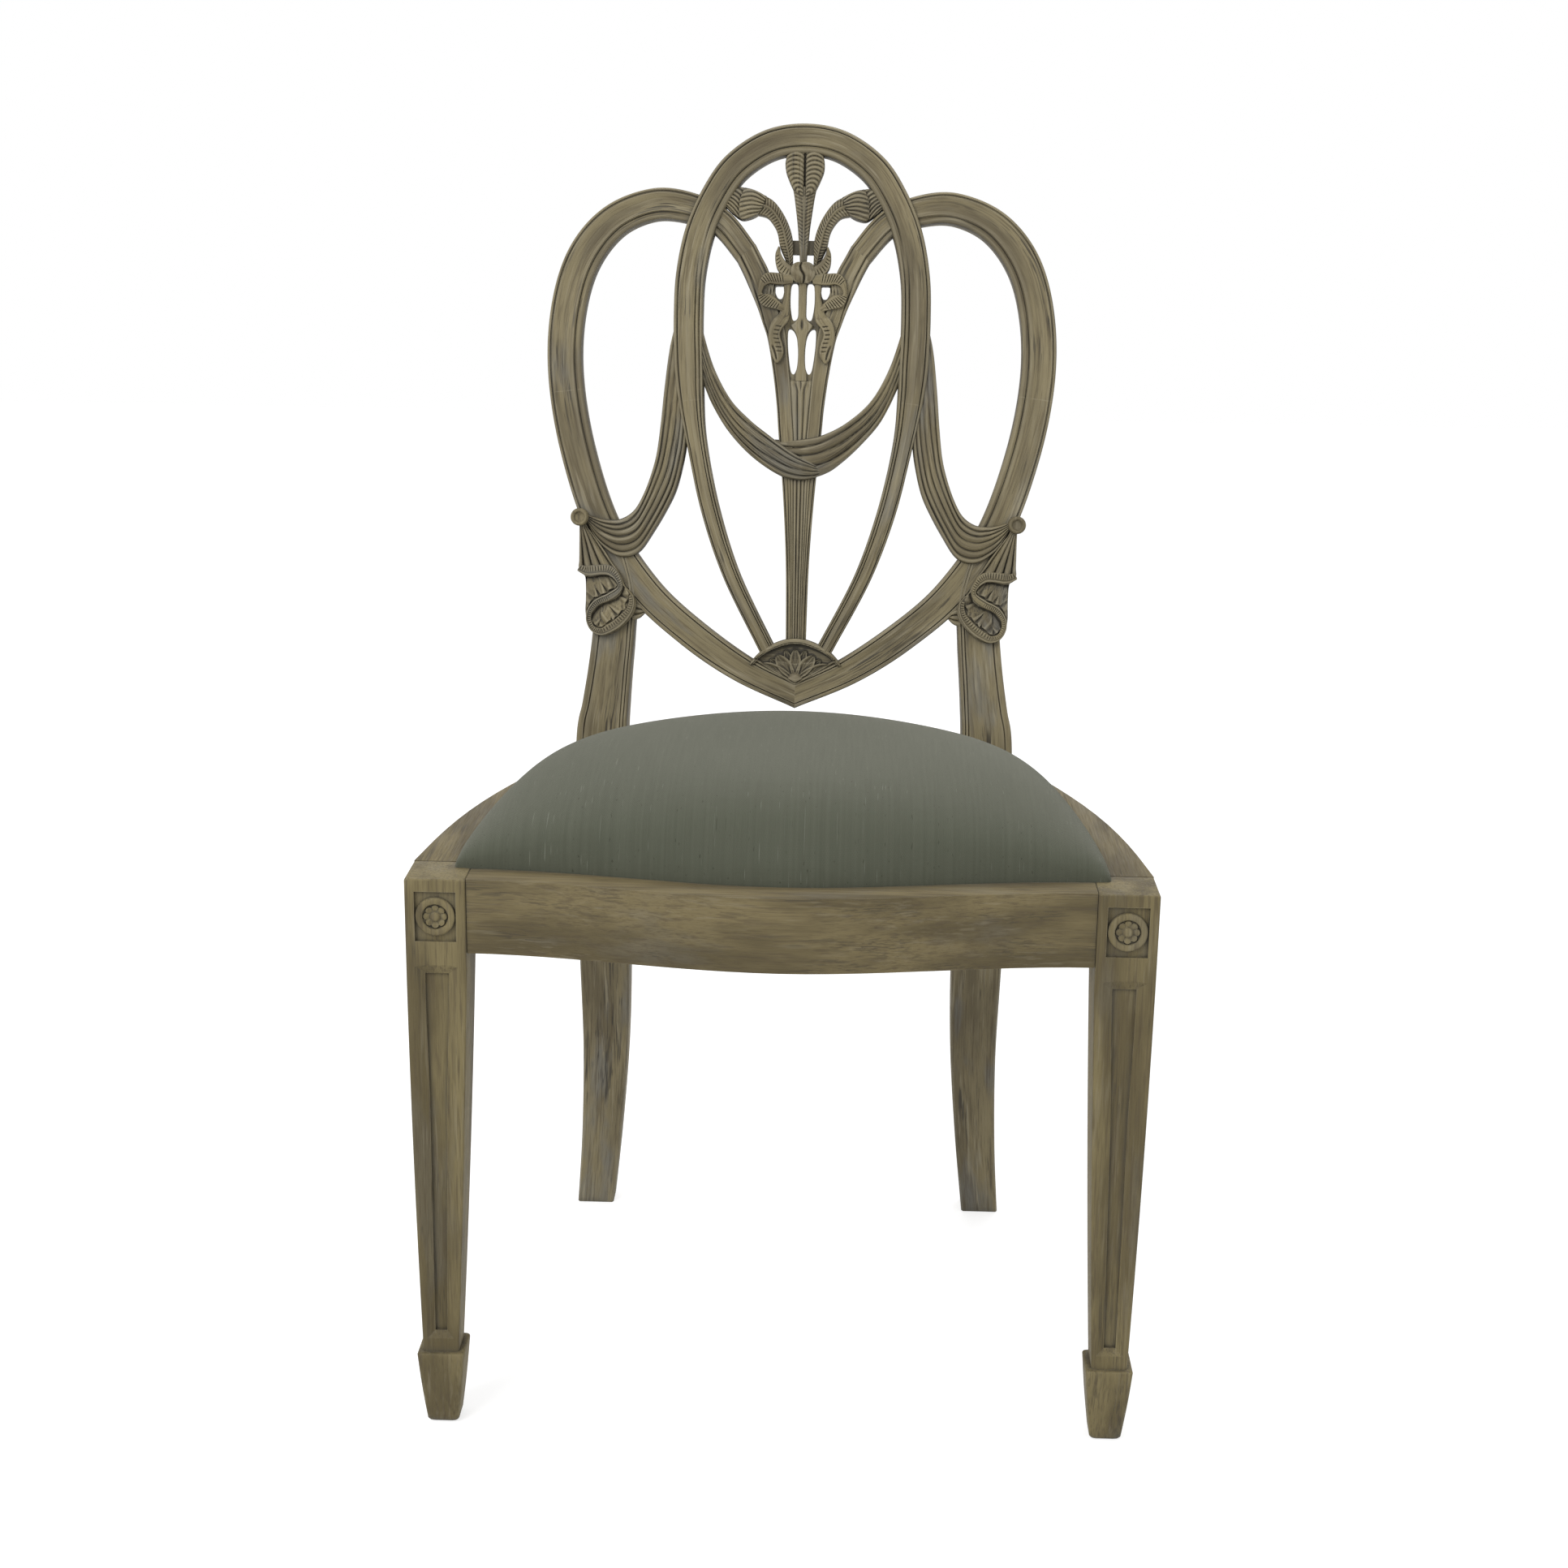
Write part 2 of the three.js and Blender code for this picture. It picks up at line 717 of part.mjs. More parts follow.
function splatSolid(grow, edge = 0) {
  const outer = stepped(curveThrough(splatOuterShares), 20);
  const inner = splatInnerShares.map(at);
  const right = inner.concat(outer);
  const left = right.slice().reverse().map((p) => new THREE.Vector2(-p.x, p.y));
  const outline = right.concat(left.slice(0, -1));
  const grown = grow > 0 ? grownOutline(outline, grow) : outline;
  let body = plate(grown, splatSet - grow, splatSet + splatThick + grow, edge);
  if (grow === 0) {
    [lowerSlotShares, upperSlotShares].forEach((shares) => {
      const slot = plate(shares.map(at), -overrun, backThick + overrun);
      body = body.subtract(slot).subtract(mirrored(slot));
    });
  }
  [loopShares, streamerShares].forEach((shares) => {
    const ribbon = bandOutline(curveThrough(shares), 0, 1, () => ribbonWidth, 8, grow);
    const raised = plate(ribbon, splatSet - ribbonProud - grow, splatSet + splatThick / 2);
    body = body.add(raised).add(mirrored(raised));
  });
  return body;
}

// Moves the sides of a closed outline outwards by the same amount. Sharp corners are mitred.
function grownOutline(outline, grow) {
  const turn = THREE.ShapeUtils.area(outline) < 0 ? -grow : grow;
  const count = outline.length;
  const normals = outline.map((point, i) => {
    const along = outline[(i + 1) % count].clone().sub(point).normalize();
    return new THREE.Vector2(along.y, -along.x);
  });
  return outline.map((point, i) => {
    const before = normals[(i + count - 1) % count];
    const mitre = before.clone().add(normals[i]);
    const spread = Math.max(1 + before.dot(normals[i]), 1 / 3);
    return point.clone().addScaledVector(mitre, turn / spread);
  });
}

function plumeSolid() {
  const curve = curveThrough(quillShares);
  const width = (place) => eased([
    [0, quillWidth], [0.5, quillWidth], [0.85, headWidth], [1, headWidth * 0.8],
  ], place);
  return plate(bandOutline(curve, 0, 1, width, 14), -carvingProud / 3, splatThick);
}

function middlePlumeSolid() {
  const curve = curveThrough(middlePlumeShares);
  const width = (place) => eased([
    [0, quillWidth * 0.7], [0.6, quillWidth], [0.76, middleHead], [1, middleHead * 0.85],
  ], place);
  return plate(bandOutline(curve, 0, 1, width, 12), -carvingProud / 3, splatThick);
}

function swagSolid() {
  const upper = stepped(curveThrough(swagUpperShares), 12);
  const lower = stepped(curveThrough(swagLowerShares), 12);
  const right = upper.slice().reverse().concat(lower);
  const left = right.slice(1, -1).reverse().map((p) => new THREE.Vector2(-p.x, p.y));
  return plate(right.concat(left), -carvingProud, carvingThick - carvingProud, arris);
}

function drapeSolid(grow) {
  const outer = stepped(curveThrough(drapeOuterShares), 18);
  const inner = stepped(curveThrough(drapeInnerShares), 20);
  const outline = grownOutline(outer.concat(inner.reverse()), grow);
  return plate(outline, -carvingProud - grow, carvingThick - carvingProud + grow, grow > 0 ? 0 : arris);
}

function tailSolid() {
  const outline = stepped(curveThrough(tailShares), 26);
  return plate(outline, -tailProud, carvingThick - tailProud, arris);
}

function knobSolid(grow) {
  const lip = knobRadius - knobHeight / 4;
  const profile = [
    [0, -spigotLength - grow], [spigotRadius + grow, -spigotLength - grow], [spigotRadius + grow, 0],
    [knobRadius, 0], [knobRadius, knobHeight * 0.6], [lip, knobHeight], [lip * 0.6, knobHeight],
    [lip * 0.45, knobHeight * 0.6], [0, knobHeight * 0.6],
  ];
  const geometry = turned(profile, 14);
  geometry.rotateX(Math.PI / 2);
  const centre = at(knobShare);
  geometry.translate(centre.x, -tailProud - fit, centre.y);
  return solid(geometry);
}

function fanOutline() {
  const top = stepped(curveThrough(fanTopShares), 8);
  const foot = fanFootShares.map(at);
  const right = top.concat(foot);
  const left = right.slice(1, -1).reverse().map((p) => new THREE.Vector2(-p.x, p.y));
  return right.concat(left);
}

function fanSolid(grow) {
  const outline = grownOutline(fanOutline(), grow);
  return plate(outline, splatSet - grow, splatSet + splatThick + grow);
}

// Leaves round a half disc, in a sunk eye inside the fan's rim.
function fanCarved() {
  const sunk = grownOutline(fanOutline(), -fanRim);
  const floor = splatSet + fanRecess;
  let body = fanSolid(0).subtract(plate(sunk, splatSet - overrun, floor));
  const centre = at([0, fanFootShares[0][1]]);
  const leaves = [-64, -32, 0, 32, 64];
  leaves.forEach((degrees) => {
    const leaf = turned([[0, 0], [fanBoss * 0.34, fanBoss * 1.1], [0, fanBoss * 2]], 6);
    leaf.rotateY(THREE.MathUtils.degToRad(degrees));
    leaf.translate(centre.x, floor, centre.y);
    body = body.add(solid(leaf).intersect(fanSolid(0)));
  });
  return body;
}

// Corner blocks and screws.

// A countersunk screw with its head at the origin, pointing along -z. Its hole also clears the head.
function screwGeometry(grow, pocket) {
  const radius = screwRadius + grow;
  const head = screwHead + grow;
  return turned([
    [0, -screwLength - grow], [radius, -screwLength + screwRadius], [radius, -screwHead + screwRadius],
    [head, 0], [head, pocket], [0, pocket],
  ], 10);
}

function placedScrew(x, y, z, turn, grow, pocket) {
  const geometry = screwGeometry(grow, pocket);
  geometry.rotateX(Math.PI / 2);
  geometry.rotateZ(turn);
  geometry.translate(x, y, z);
  return solid(geometry);
}

// Right hand corners: a plan triangle, and the heads and headings of its two screws.
const blockLow = railBottom + blockGap;
const blockHigh = rebateFloor - blockGap;
const blockMiddle = (blockLow + blockHigh) / 2;
const cornerX = sideFace(legWidth) - (sideLedge + seatSupport) / 2;
const cornerY = frontFace(legInner) + (frontLedge + seatSupport) / 2;
const rearCornerX = sideFace(rearFace) - rearLegWidth / 3;
const rearCornerY = rearRailFace + seatSupport;
const corners = {
  front: {
    outline: [[cornerX, cornerY], [cornerX, cornerY + blockReach], [cornerX - blockReach, cornerY]],
    screws: [
      [cornerX - blockReach * 0.5, cornerY + blockReach * 0.42,
        blockMiddle - screwStagger, Math.PI],
      [cornerX - blockReach * 0.5, cornerY + blockReach * 0.47,
        blockMiddle + screwStagger, -Math.PI / 2],
    ],
  },
  rear: {
    outline: [[rearCornerX, rearCornerY], [rearCornerX - rearBlockReach, rearCornerY],
      [rearCornerX, rearCornerY - rearBlockReach]],
    screws: [
      [rearCornerX - rearBlockReach * 0.6, rearCornerY - rearBlockReach * 0.32,
        blockMiddle - screwStagger, 0],
      [rearCornerX - rearBlockReach * 0.45, rearCornerY - rearBlockReach * 0.48,
        blockMiddle + screwStagger, -Math.PI / 2],
    ],
  },
};

function cornerSlab(name) {
  const outline = corners[name].outline.map(([x, y]) => new THREE.Vector2(x, y));
  const inside = slab(seatOutline(-seatSupport - fit), blockLow, blockHigh);
  return slab(outline, blockLow, blockHigh).intersect(inside);
}

function screwHoles(name) {
  return corners[name].screws.map(([x, y, z, turn]) => placedScrew(x, y, z, turn, fit, blockReach / 2));
}

// The drop-in seat.

// The seat's outline in plan, moved out from the ledge of the rails by grow.
function seatOutline(grow) {
  const frontAt = (x) => frontFace(x) + frontLedge - grow;
  const sideAt = (y) => sideFace(y) - sideLedge + grow;
  let cornerAcross = sideAt(frontAt(0));
  for (let i = 0; i < 6; i += 1) {
    cornerAcross = sideAt(frontAt(cornerAcross));
  }
  const back = seatBack + grow;
  const front = frontAt(cornerAcross);
  const right = [];
  for (let i = 1; i <= 8; i += 1) {
    const x = cornerAcross * i / 8;
    right.push(new THREE.Vector2(x, frontAt(x)));
  }
  for (let i = 1; i <= 10; i += 1) {
    const y = front + (back - front) * i / 10;
    right.push(new THREE.Vector2(sideAt(y), y));
  }
  const left = right.slice().reverse().map((p) => new THREE.Vector2(-p.x, p.y));
  return [new THREE.Vector2(0, frontAt(0))].concat(right, left);
}

function rebateCutter() {
  return slab(seatOutline(seatGap), rebateFloor, railTop + wallHeight);
}

const frameInset = coverThick + fit;

function seatFramePieces() {
  const ring = slab(seatOutline(-frameInset), seatBottom, frameTop)
    .subtract(slab(seatOutline(-frameInset - frameWidth), seatBottom - overrun, frameTop + overrun));
  const frontCut = frontFace(legInner) + frontLedge + frameInset + frameWidth;
  const backCut = seatBack - frameInset - frameWidth;
  const wide = seatWidth;
  const low = seatBottom - overrun;
  const high = frameTop + overrun;
  const sides = ring.intersect(box(0, wide, frontCut + fit, backCut - fit, low, high));
  return {
    seat_frame_front: ring.intersect(box(-wide, wide, -wide, frontCut, low, high)),
    seat_frame_back: ring.intersect(box(-wide, wide, backCut, 2 * wide, low, high)),
    seat_frame_right: sides,
    seat_frame_left: mirrored(sides),
  };
}

// Inset and rise of the dome, ring by ring, as shares of the outline and of the crown.
const domeShares = [
  [0, 0], [0.008, 0.13], [0.028, 0.28], [0.065, 0.44], [0.125, 0.61], [0.215, 0.77], [0.34, 0.885],
  [0.5, 0.955], [0.73, 0.99], [0.97, 1],
];

function domeRings(grow, base, wall, crown) {
  const outline = seatOutline(grow);
  const middle = (outline[0].y + seatBack) / 2;
  const ringAt = (inset, z) => outline.map((p) => new THREE.Vector3(
    p.x * (1 - inset), middle + (p.y - middle) * (1 - inset), z));
  return [ringAt(0, base)].concat(domeShares.map(([inset, rise]) => ringAt(inset, wall + crown * rise)));
}

const wallTop = seatBottom + wallHeight;
const padBottom = frameTop + 2 * webThick + 3 * fit;

function coverSolid() {
  const outer = domeRings(0, seatBottom, wallTop, crownHeight);
  const inner = domeRings(-coverThick, seatBottom, wallTop - coverThick, crownHeight);
  return solid(loft(outer.reverse().concat(inner), inPlan));
}

function foamSolid() {
  const inset = coverThick + fit;
  const dome = solid(loft(domeRings(-inset, seatBottom, wallTop - inset, crownHeight - fit / 2), inPlan));
  const top = wallTop + crownHeight;
  return dome.intersect(box(-seatWidth, seatWidth, -seatWidth, 2 * seatWidth, padBottom, top));
}

function webbing() {
  const straps = {};
  const low = frameTop + fit;
  const front = frontFace(0) + frontLedge + frameWidth;
  const back = seatBack - frameWidth;
  [-1, 0, 1].forEach((place, i) => {
    const x = place * webPitch;
    straps[`webbing_long_${i + 1}`] = box(x - webWidth / 2, x + webWidth / 2, front - webTack,
      back + webTack, low, low + webThick);
  });
  const high = low + webThick + fit;
  const middle = (front + back) / 2;
  [-1, 1].forEach((place, i) => {
    const y = middle + place * webPitch / 2;
    const half = sideFace(y) - sideLedge - frameWidth + webTack - sideBow;
    straps[`webbing_cross_${i + 1}`] = box(-half, half, y - webWidth / 2, y + webWidth / 2,
      high, high + webThick);
  });
  return straps;
}

function dustCoverSolid() {
  const top = seatBottom - fit;
  return slab(seatOutline(-dustInset), top - dustThick, top);
}

// Assembly.

const chair = new THREE.Group();
const back = new THREE.Group();
const centring = new THREE.Group();
back.applyMatrix4(backFrame);
centring.add(back);
chair.add(centring);

function place(parent, name, body, finish) {
  const mesh = new THREE.Mesh(geometryOf(body), new THREE.MeshStandardMaterial(finishes[finish]));
  mesh.name = name;
  parent.add(mesh);
}

function bothSides(parent, name, body, finish) {
  Object.keys(side).forEach((hand) => place(parent, `${name}_${hand}`, sided(body, hand), finish));
}

function cutBy(body, cutters) {
  return cutters.reduce((rest, cutter) => rest.subtract(cutter), body);
}

// Parts of the back, upright, and the same parts grown by the fit, which cut their neighbours.
const rearLegFat = rearLegSolid(fit);
const rearLegFatUpright = upright(rearLegFat);
const shieldRailFat = shieldRailSolid(fit);
const archFat = archSolid(fit);
const barFat = barSolid(fit);
const lobeFat = lobeSolid(fit);
const splatFat = splatSolid(fit);
const fanFat = fanSolid(fit);
const hoopFats = [archFat, barFat, mirrored(barFat)];

function frontLegs() {
  const cutters = [panelCutter(), fluteCutter(), frontTenon(fit), sideTenon(fit), rebateCutter()];
  const leg = cutBy(legSolid(0).add(footTenonSolid(0)), cutters);
  bothSides(centring, 'front_leg', leg, 'wood');
  bothSides(centring, 'spade_foot', footSolid(), 'wood');
  bothSides(centring, 'rosette', rosetteSolid(), 'wood');
}

function rails() {
  const frontHoles = screwHoles('front');
  const rearHoles = screwHoles('rear');
  const front = frontRailSolid(0).add(frontTenon(0)).add(mirrored(frontTenon(0)));
  const frontCuts = [rebateCutter(), ...frontHoles, ...frontHoles.map(mirrored)];
  place(centring, 'front_rail', cutBy(front, frontCuts), 'wood');
  const sideRail = cutBy(sideRailSolid(0), [rearLegFat]).add(sideTenon(0)).add(sideRearTenon(0));
  bothSides(centring, 'side_rail', cutBy(sideRail, [rebateCutter(), ...frontHoles, ...rearHoles]), 'wood');
  const rear = cutBy(rearRailSolid(0), [rearLegFat, mirrored(rearLegFat), sideRailSolid(fit),
    mirrored(sideRailSolid(fit))]).add(rearTenon(0)).add(mirrored(rearTenon(0)));
  const rearCuts = [rebateCutter(), ...rearHoles, ...rearHoles.map(mirrored)];
  place(centring, 'rear_rail', cutBy(rear, rearCuts), 'wood');
}

function rearLegs() {
  const shieldCuts = [shieldRailFat, railTenon(fit), lobeDowel(fit), knobSolid(fit)].map(leaned);
  const legCuts = [...shieldCuts, sideRearTenon(fit), rearTenon(fit), rebateCutter()];
  const leg = cutBy(rearLegSolid(0), legCuts);
  bothSides(centring, 'rear_leg', leg, 'wood');
}

function cornerBlocks() {
  const fats = [legSolid(fit), rearRailSolid(fit), rearLegFat];
  Object.keys(corners).forEach((name) => {
    const block = cutBy(cornerSlab(name), [...fats, ...screwHoles(name)]);
    bothSides(centring, `corner_block_${name}`, block, 'beech');
    corners[name].screws.forEach(([x, y, z, turn], i) => {
      const screw = placedScrew(x, y, z, turn, 0, 0);
      bothSides(centring, `screw_${name}_${i + 1}`, screw, 'steel');
    });
  });
}

function shieldBack() {
  const railTenons = railTenon(0);
  const shieldRail = shieldRailSolid(0, arris).add(railTenons).add(mirrored(railTenons));
  place(back, 'shield_rail', shieldRail, 'wood');
  const front = box(-shieldHalf, shieldHalf, -overrun, halving + fit, 0, backLength);
  const archFront = archFat.intersect(front);
  const lobe = cutBy(lobeSolid(0, arris), [archFront, lobeDowel(fit)]);
  bothSides(back, 'lobe', lobe, 'wood');
  const lobeBack = lobeFat.subtract(box(-shieldHalf, 2 * shieldHalf, -overrun, halving, 0, backLength));
  const archCuts = [lobeBack, mirrored(lobeBack), barDowel(fit), mirrored(barDowel(fit))];
  const arch = cutBy(archSolid(0, arris), archCuts);
  place(back, 'hoop_arch', arch, 'wood');
  const bar = cutBy(barSolid(0, arris), [fanFat, shieldRailFat, barDowel(fit)]);
  bothSides(back, 'shield_bar', bar, 'wood');
  bothSides(back, 'lobe_dowel', lobeDowel(0), 'beech');
  bothSides(back, 'bar_dowel', barDowel(0), 'beech');
}

function carving() {
  const lobes = [lobeFat, mirrored(lobeFat)];
  const knobHole = knobSolid(fit);
  const splat = cutBy(splatSolid(0), [...lobes, fanFat]);
  place(back, 'splat', splat, 'wood');
  const plumeCuts = [archFat, ...lobes, splatFat];
  bothSides(back, 'plume', cutBy(plumeSolid(), plumeCuts), 'wood');
  place(back, 'plume_middle', cutBy(middlePlumeSolid(), plumeCuts), 'wood');
  place(back, 'swag_middle', cutBy(swagSolid(), [...hoopFats, splatFat]), 'wood');
  const drapeCuts = [...hoopFats, shieldRailFat, rearLegFatUpright, knobHole];
  bothSides(back, 'swag', cutBy(drapeSolid(0), drapeCuts), 'wood');
  const tail = cutBy(tailSolid(), [rearLegFatUpright, shieldRailFat, drapeSolid(fit), knobHole]);
  bothSides(back, 'tail', tail, 'wood');
  bothSides(back, 'knob', knobSolid(0), 'wood');
  place(back, 'fan', cutBy(fanCarved(), [shieldRailFat]), 'wood');
}

function dropInSeat() {
  Object.entries(seatFramePieces()).forEach(([name, body]) => place(centring, name, body, 'beech'));
  Object.entries(webbing()).forEach(([name, body]) => place(centring, name, body, 'web'));
  place(centring, 'foam_pad', foamSolid(), 'foam');
  place(centring, 'seat_cover', coverSolid(), 'cloth');
  const dust = cutBy(dustCoverSolid(), [legSolid(seatGap), mirrored(legSolid(seatGap))]);
  place(centring, 'dust_cover', dust, 'dust');
}

frontLegs();
rails();
rearLegs();
cornerBlocks();
shieldBack();
carving();
dropInSeat();

// The origin lies on the floor under the middle of the chair.
const reach = new THREE.Box3().setFromObject(chair);
centring.position.y = -(reach.min.y + reach.max.y) / 2;

export default chair;
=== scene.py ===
import math

import bpy
import numpy as np
from mathutils import Matrix, Vector


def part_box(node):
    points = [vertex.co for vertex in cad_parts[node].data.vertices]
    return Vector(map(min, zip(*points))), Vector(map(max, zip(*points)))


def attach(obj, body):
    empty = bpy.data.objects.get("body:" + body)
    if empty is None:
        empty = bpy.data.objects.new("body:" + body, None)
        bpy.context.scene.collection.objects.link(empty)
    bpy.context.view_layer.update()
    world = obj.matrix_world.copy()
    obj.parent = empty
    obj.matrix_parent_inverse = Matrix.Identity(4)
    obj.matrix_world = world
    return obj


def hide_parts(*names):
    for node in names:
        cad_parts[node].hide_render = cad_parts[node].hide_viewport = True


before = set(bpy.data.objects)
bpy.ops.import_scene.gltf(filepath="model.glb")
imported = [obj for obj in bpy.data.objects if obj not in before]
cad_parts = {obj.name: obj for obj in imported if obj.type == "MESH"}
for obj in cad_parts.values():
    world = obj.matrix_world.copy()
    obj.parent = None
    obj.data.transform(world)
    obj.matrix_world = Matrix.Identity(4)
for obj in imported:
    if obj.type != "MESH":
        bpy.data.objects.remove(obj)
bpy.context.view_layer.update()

# The room: a plain pale floor under a soft light from the front left, and the camera where the
# photograph was taken, less than two metres in front of the chair and as high as its top.

CAMERA_PLACE = Vector((0.04135, -1.86756, 0.97740))
CAMERA_YAW = math.radians(-1.401)
CAMERA_PITCH = math.radians(15.686)
CAMERA_ROLL = math.radians(-0.865)
CAMERA_LENS = 55.88
CAMERA_SENSOR = 36
CAMERA_NEAR = 0.05
WORLD_LIGHT = 0.50
FLOOR_SIZE = 12.0
FLOOR_DROP = 0.0004
FLOOR_COLOUR = (0.62, 0.62, 0.62, 1)
FLOOR_GLOW = 0.69
WHITE = (1, 1, 1, 1)


def camera_axes():
    """Right, up and back of the camera."""
    ahead = Vector((math.sin(CAMERA_YAW) * math.cos(CAMERA_PITCH),
                    math.cos(CAMERA_YAW) * math.cos(CAMERA_PITCH), -math.sin(CAMERA_PITCH)))
    level = Vector((math.cos(CAMERA_YAW), -math.sin(CAMERA_YAW), 0))
    down = ahead.cross(level)
    right = math.cos(CAMERA_ROLL) * level + math.sin(CAMERA_ROLL) * down
    below = math.cos(CAMERA_ROLL) * down - math.sin(CAMERA_ROLL) * level
    return right, -below, -ahead


bpy.ops.object.select_all(action="DESELECT")
bpy.ops.object.camera_add()
camera = bpy.context.object
axes = Matrix(camera_axes()).transposed().to_4x4()
camera.matrix_world = Matrix.Translation(CAMERA_PLACE) @ axes
camera.data.lens = CAMERA_LENS
camera.data.sensor_width = CAMERA_SENSOR
camera.data.clip_start = CAMERA_NEAR
bpy.context.scene.camera = camera


def lamp(name, place, target, size, power):
    """A square soft light that faces a point of the chair."""
    bpy.ops.object.light_add(type="AREA", location=place)
    light = bpy.context.object
    light.name = name
    light.data.size = size
    light.data.energy = power
    light.rotation_euler = (Vector(target) - Vector(place)).to_track_quat("-Z", "Y").to_euler()


lamp("key_light", (-1.7, -2.3, 2.5), (0, 0, 0.5), 1.8, 56)
lamp("fill_light", (2.2, -1.9, 1.5), (0, 0, 0.5), 2.2, 12)
lamp("top_light", (0.2, 1.2, 2.8), (0, 0, 0.6), 1.8, 22)


def node(tree, kind, **settings):
    """A shader node with some of its properties and sockets set."""
    made = tree.nodes.new(kind)
    for name, value in settings.items():
        if name in made.inputs:
            made.inputs[name].default_value = value
        else:
            setattr(made, name, value)
    return made


def plug(value, socket):
    """Gives a socket a number or a colour, or links another node's socket to it."""
    if isinstance(value, float):
        socket.default_value = value
    elif isinstance(value, tuple):
        socket.default_value = (*value, 1)
    else:
        socket.id_data.links.new(value, socket)


def combined(operation, a, b):
    """A socket's value and another value, multiplied or put together in some other way."""
    made = node(a.id_data, "ShaderNodeMath", operation=operation)
    plug(a, made.inputs[0])
    plug(b, made.inputs[1])
    return made.outputs[0]


def ramp(value, low, high, bottom=0.0, top=1.0, kind="SMOOTHSTEP"):
    """A socket's value, taken from between low and high to between bottom and top."""
    made = node(value.id_data, "ShaderNodeMapRange", interpolation_type=kind,
                **{"From Min": low, "From Max": high, "To Min": bottom, "To Max": top})
    plug(value, made.inputs["Value"])
    return made.outputs["Result"]


def not_lit(tree):
    """1 where the camera, a gloss or a glass looks, and 0 for the light that falls on things."""
    path = node(tree, "ShaderNodeLightPath")
    seen = combined("MAXIMUM", path.outputs["Is Camera Ray"], path.outputs["Is Glossy Ray"])
    return combined("MAXIMUM", seen, path.outputs["Is Transmission Ray"])


def new_finish(name):
    """A new material and its shader."""
    finish = bpy.data.materials.new(name)
    finish.use_nodes = True
    return finish, finish.node_tree.nodes["Principled BSDF"]


world = bpy.data.worlds.new("studio")
world.use_nodes = True
sky = world.node_tree.nodes["Background"]
plug(ramp(not_lit(world.node_tree), 0, 1, WORLD_LIGHT, 1.0, "LINEAR"), sky.inputs["Strength"])
sky.inputs["Color"].default_value = WHITE
bpy.context.scene.world = world
bpy.context.scene.view_settings.view_transform = "Standard"

bpy.ops.mesh.primitive_plane_add(size=FLOOR_SIZE, location=(0, 0, -FLOOR_DROP))
floor = bpy.context.object
floor.name = "floor"
floor_finish, floor_shader = new_finish("pale_floor")
floor_shader.inputs["Base Color"].default_value = FLOOR_COLOUR
floor_shader.inputs["Roughness"].default_value = 1.0
floor_shader.inputs["Specular IOR Level"].default_value = 0.0
floor_shader.inputs["Emission Color"].default_value = WHITE
glow = combined("MULTIPLY", not_lit(floor_shader.id_data), FLOOR_GLOW)
plug(glow, floor_shader.inputs["Emission Strength"])
floor.data.materials.append(floor_finish)

# The two front legs: square limed wood, tapered mostly on the two inner faces, each with a sunk
# square panel at its head and a long sunk panel with bevelled sides below. The rails are tenoned
# into them.

LEG_WIDTH = 0.044
LEG_TOE = 0.027
LEG_SWELL = 0.0016
TOE_SPREAD = 0.0045
FOOT_HEIGHT = 0.061
BLOCK_HEIGHT = 0.072
PANEL_WIDTH = 0.030
PANEL_HEIGHT = 0.0375
PANEL_DROP = 0.0095
PANEL_DEPTH = 0.003
FLUTE_DROP = 0.0665
FLUTE_END = 0.011
FLUTE_MARGIN = 0.135
FLUTE_FLOOR = 0.31
FLUTE_FLOOR_TOP = 0.395
FLUTE_DEPTH = 0.0058
FLUTE_QUIRK = 0.0026
FLUTE_BEVEL = 0.0056
FLUTE_ARCH = 0.0016
FLUTE_NARROW_FROM = 0.19
FLUTE_NARROW_TO = 0.08
ARRIS = 0.0016
BOARD_SHIFT = np.array([0.37, 0.53, 0.71])

leg_low, leg_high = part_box("front_leg_right")
rail_top = leg_high.z
leg_x = leg_high.x - LEG_WIDTH / 2
leg_y = leg_low.y + LEG_WIDTH / 2
shoulder = rail_top - BLOCK_HEIGHT
taper_span = shoulder - FOOT_HEIGHT
hands = {"left": -1, "right": 1}
boards = iter(range(1000))


def take(piece):
    """Makes a piece the only one selected."""
    bpy.ops.object.select_all(action="DESELECT")
    piece.select_set(True)
    bpy.context.view_layer.objects.active = piece


def edit(piece, *steps):
    """Runs edit mode steps with the whole mesh selected."""
    take(piece)
    bpy.ops.object.mode_set(mode="EDIT")
    bpy.ops.mesh.select_all(action="SELECT")
    for step in steps:
        step()
    bpy.ops.object.mode_set(mode="OBJECT")


def sew():
    """Merges the seam of a rolled grid, closes its ends and turns its faces outwards."""
    bpy.ops.mesh.remove_doubles(threshold=1e-6)
    bpy.ops.mesh.fill_holes(sides=0)
    bpy.ops.mesh.normals_make_consistent(inside=False)


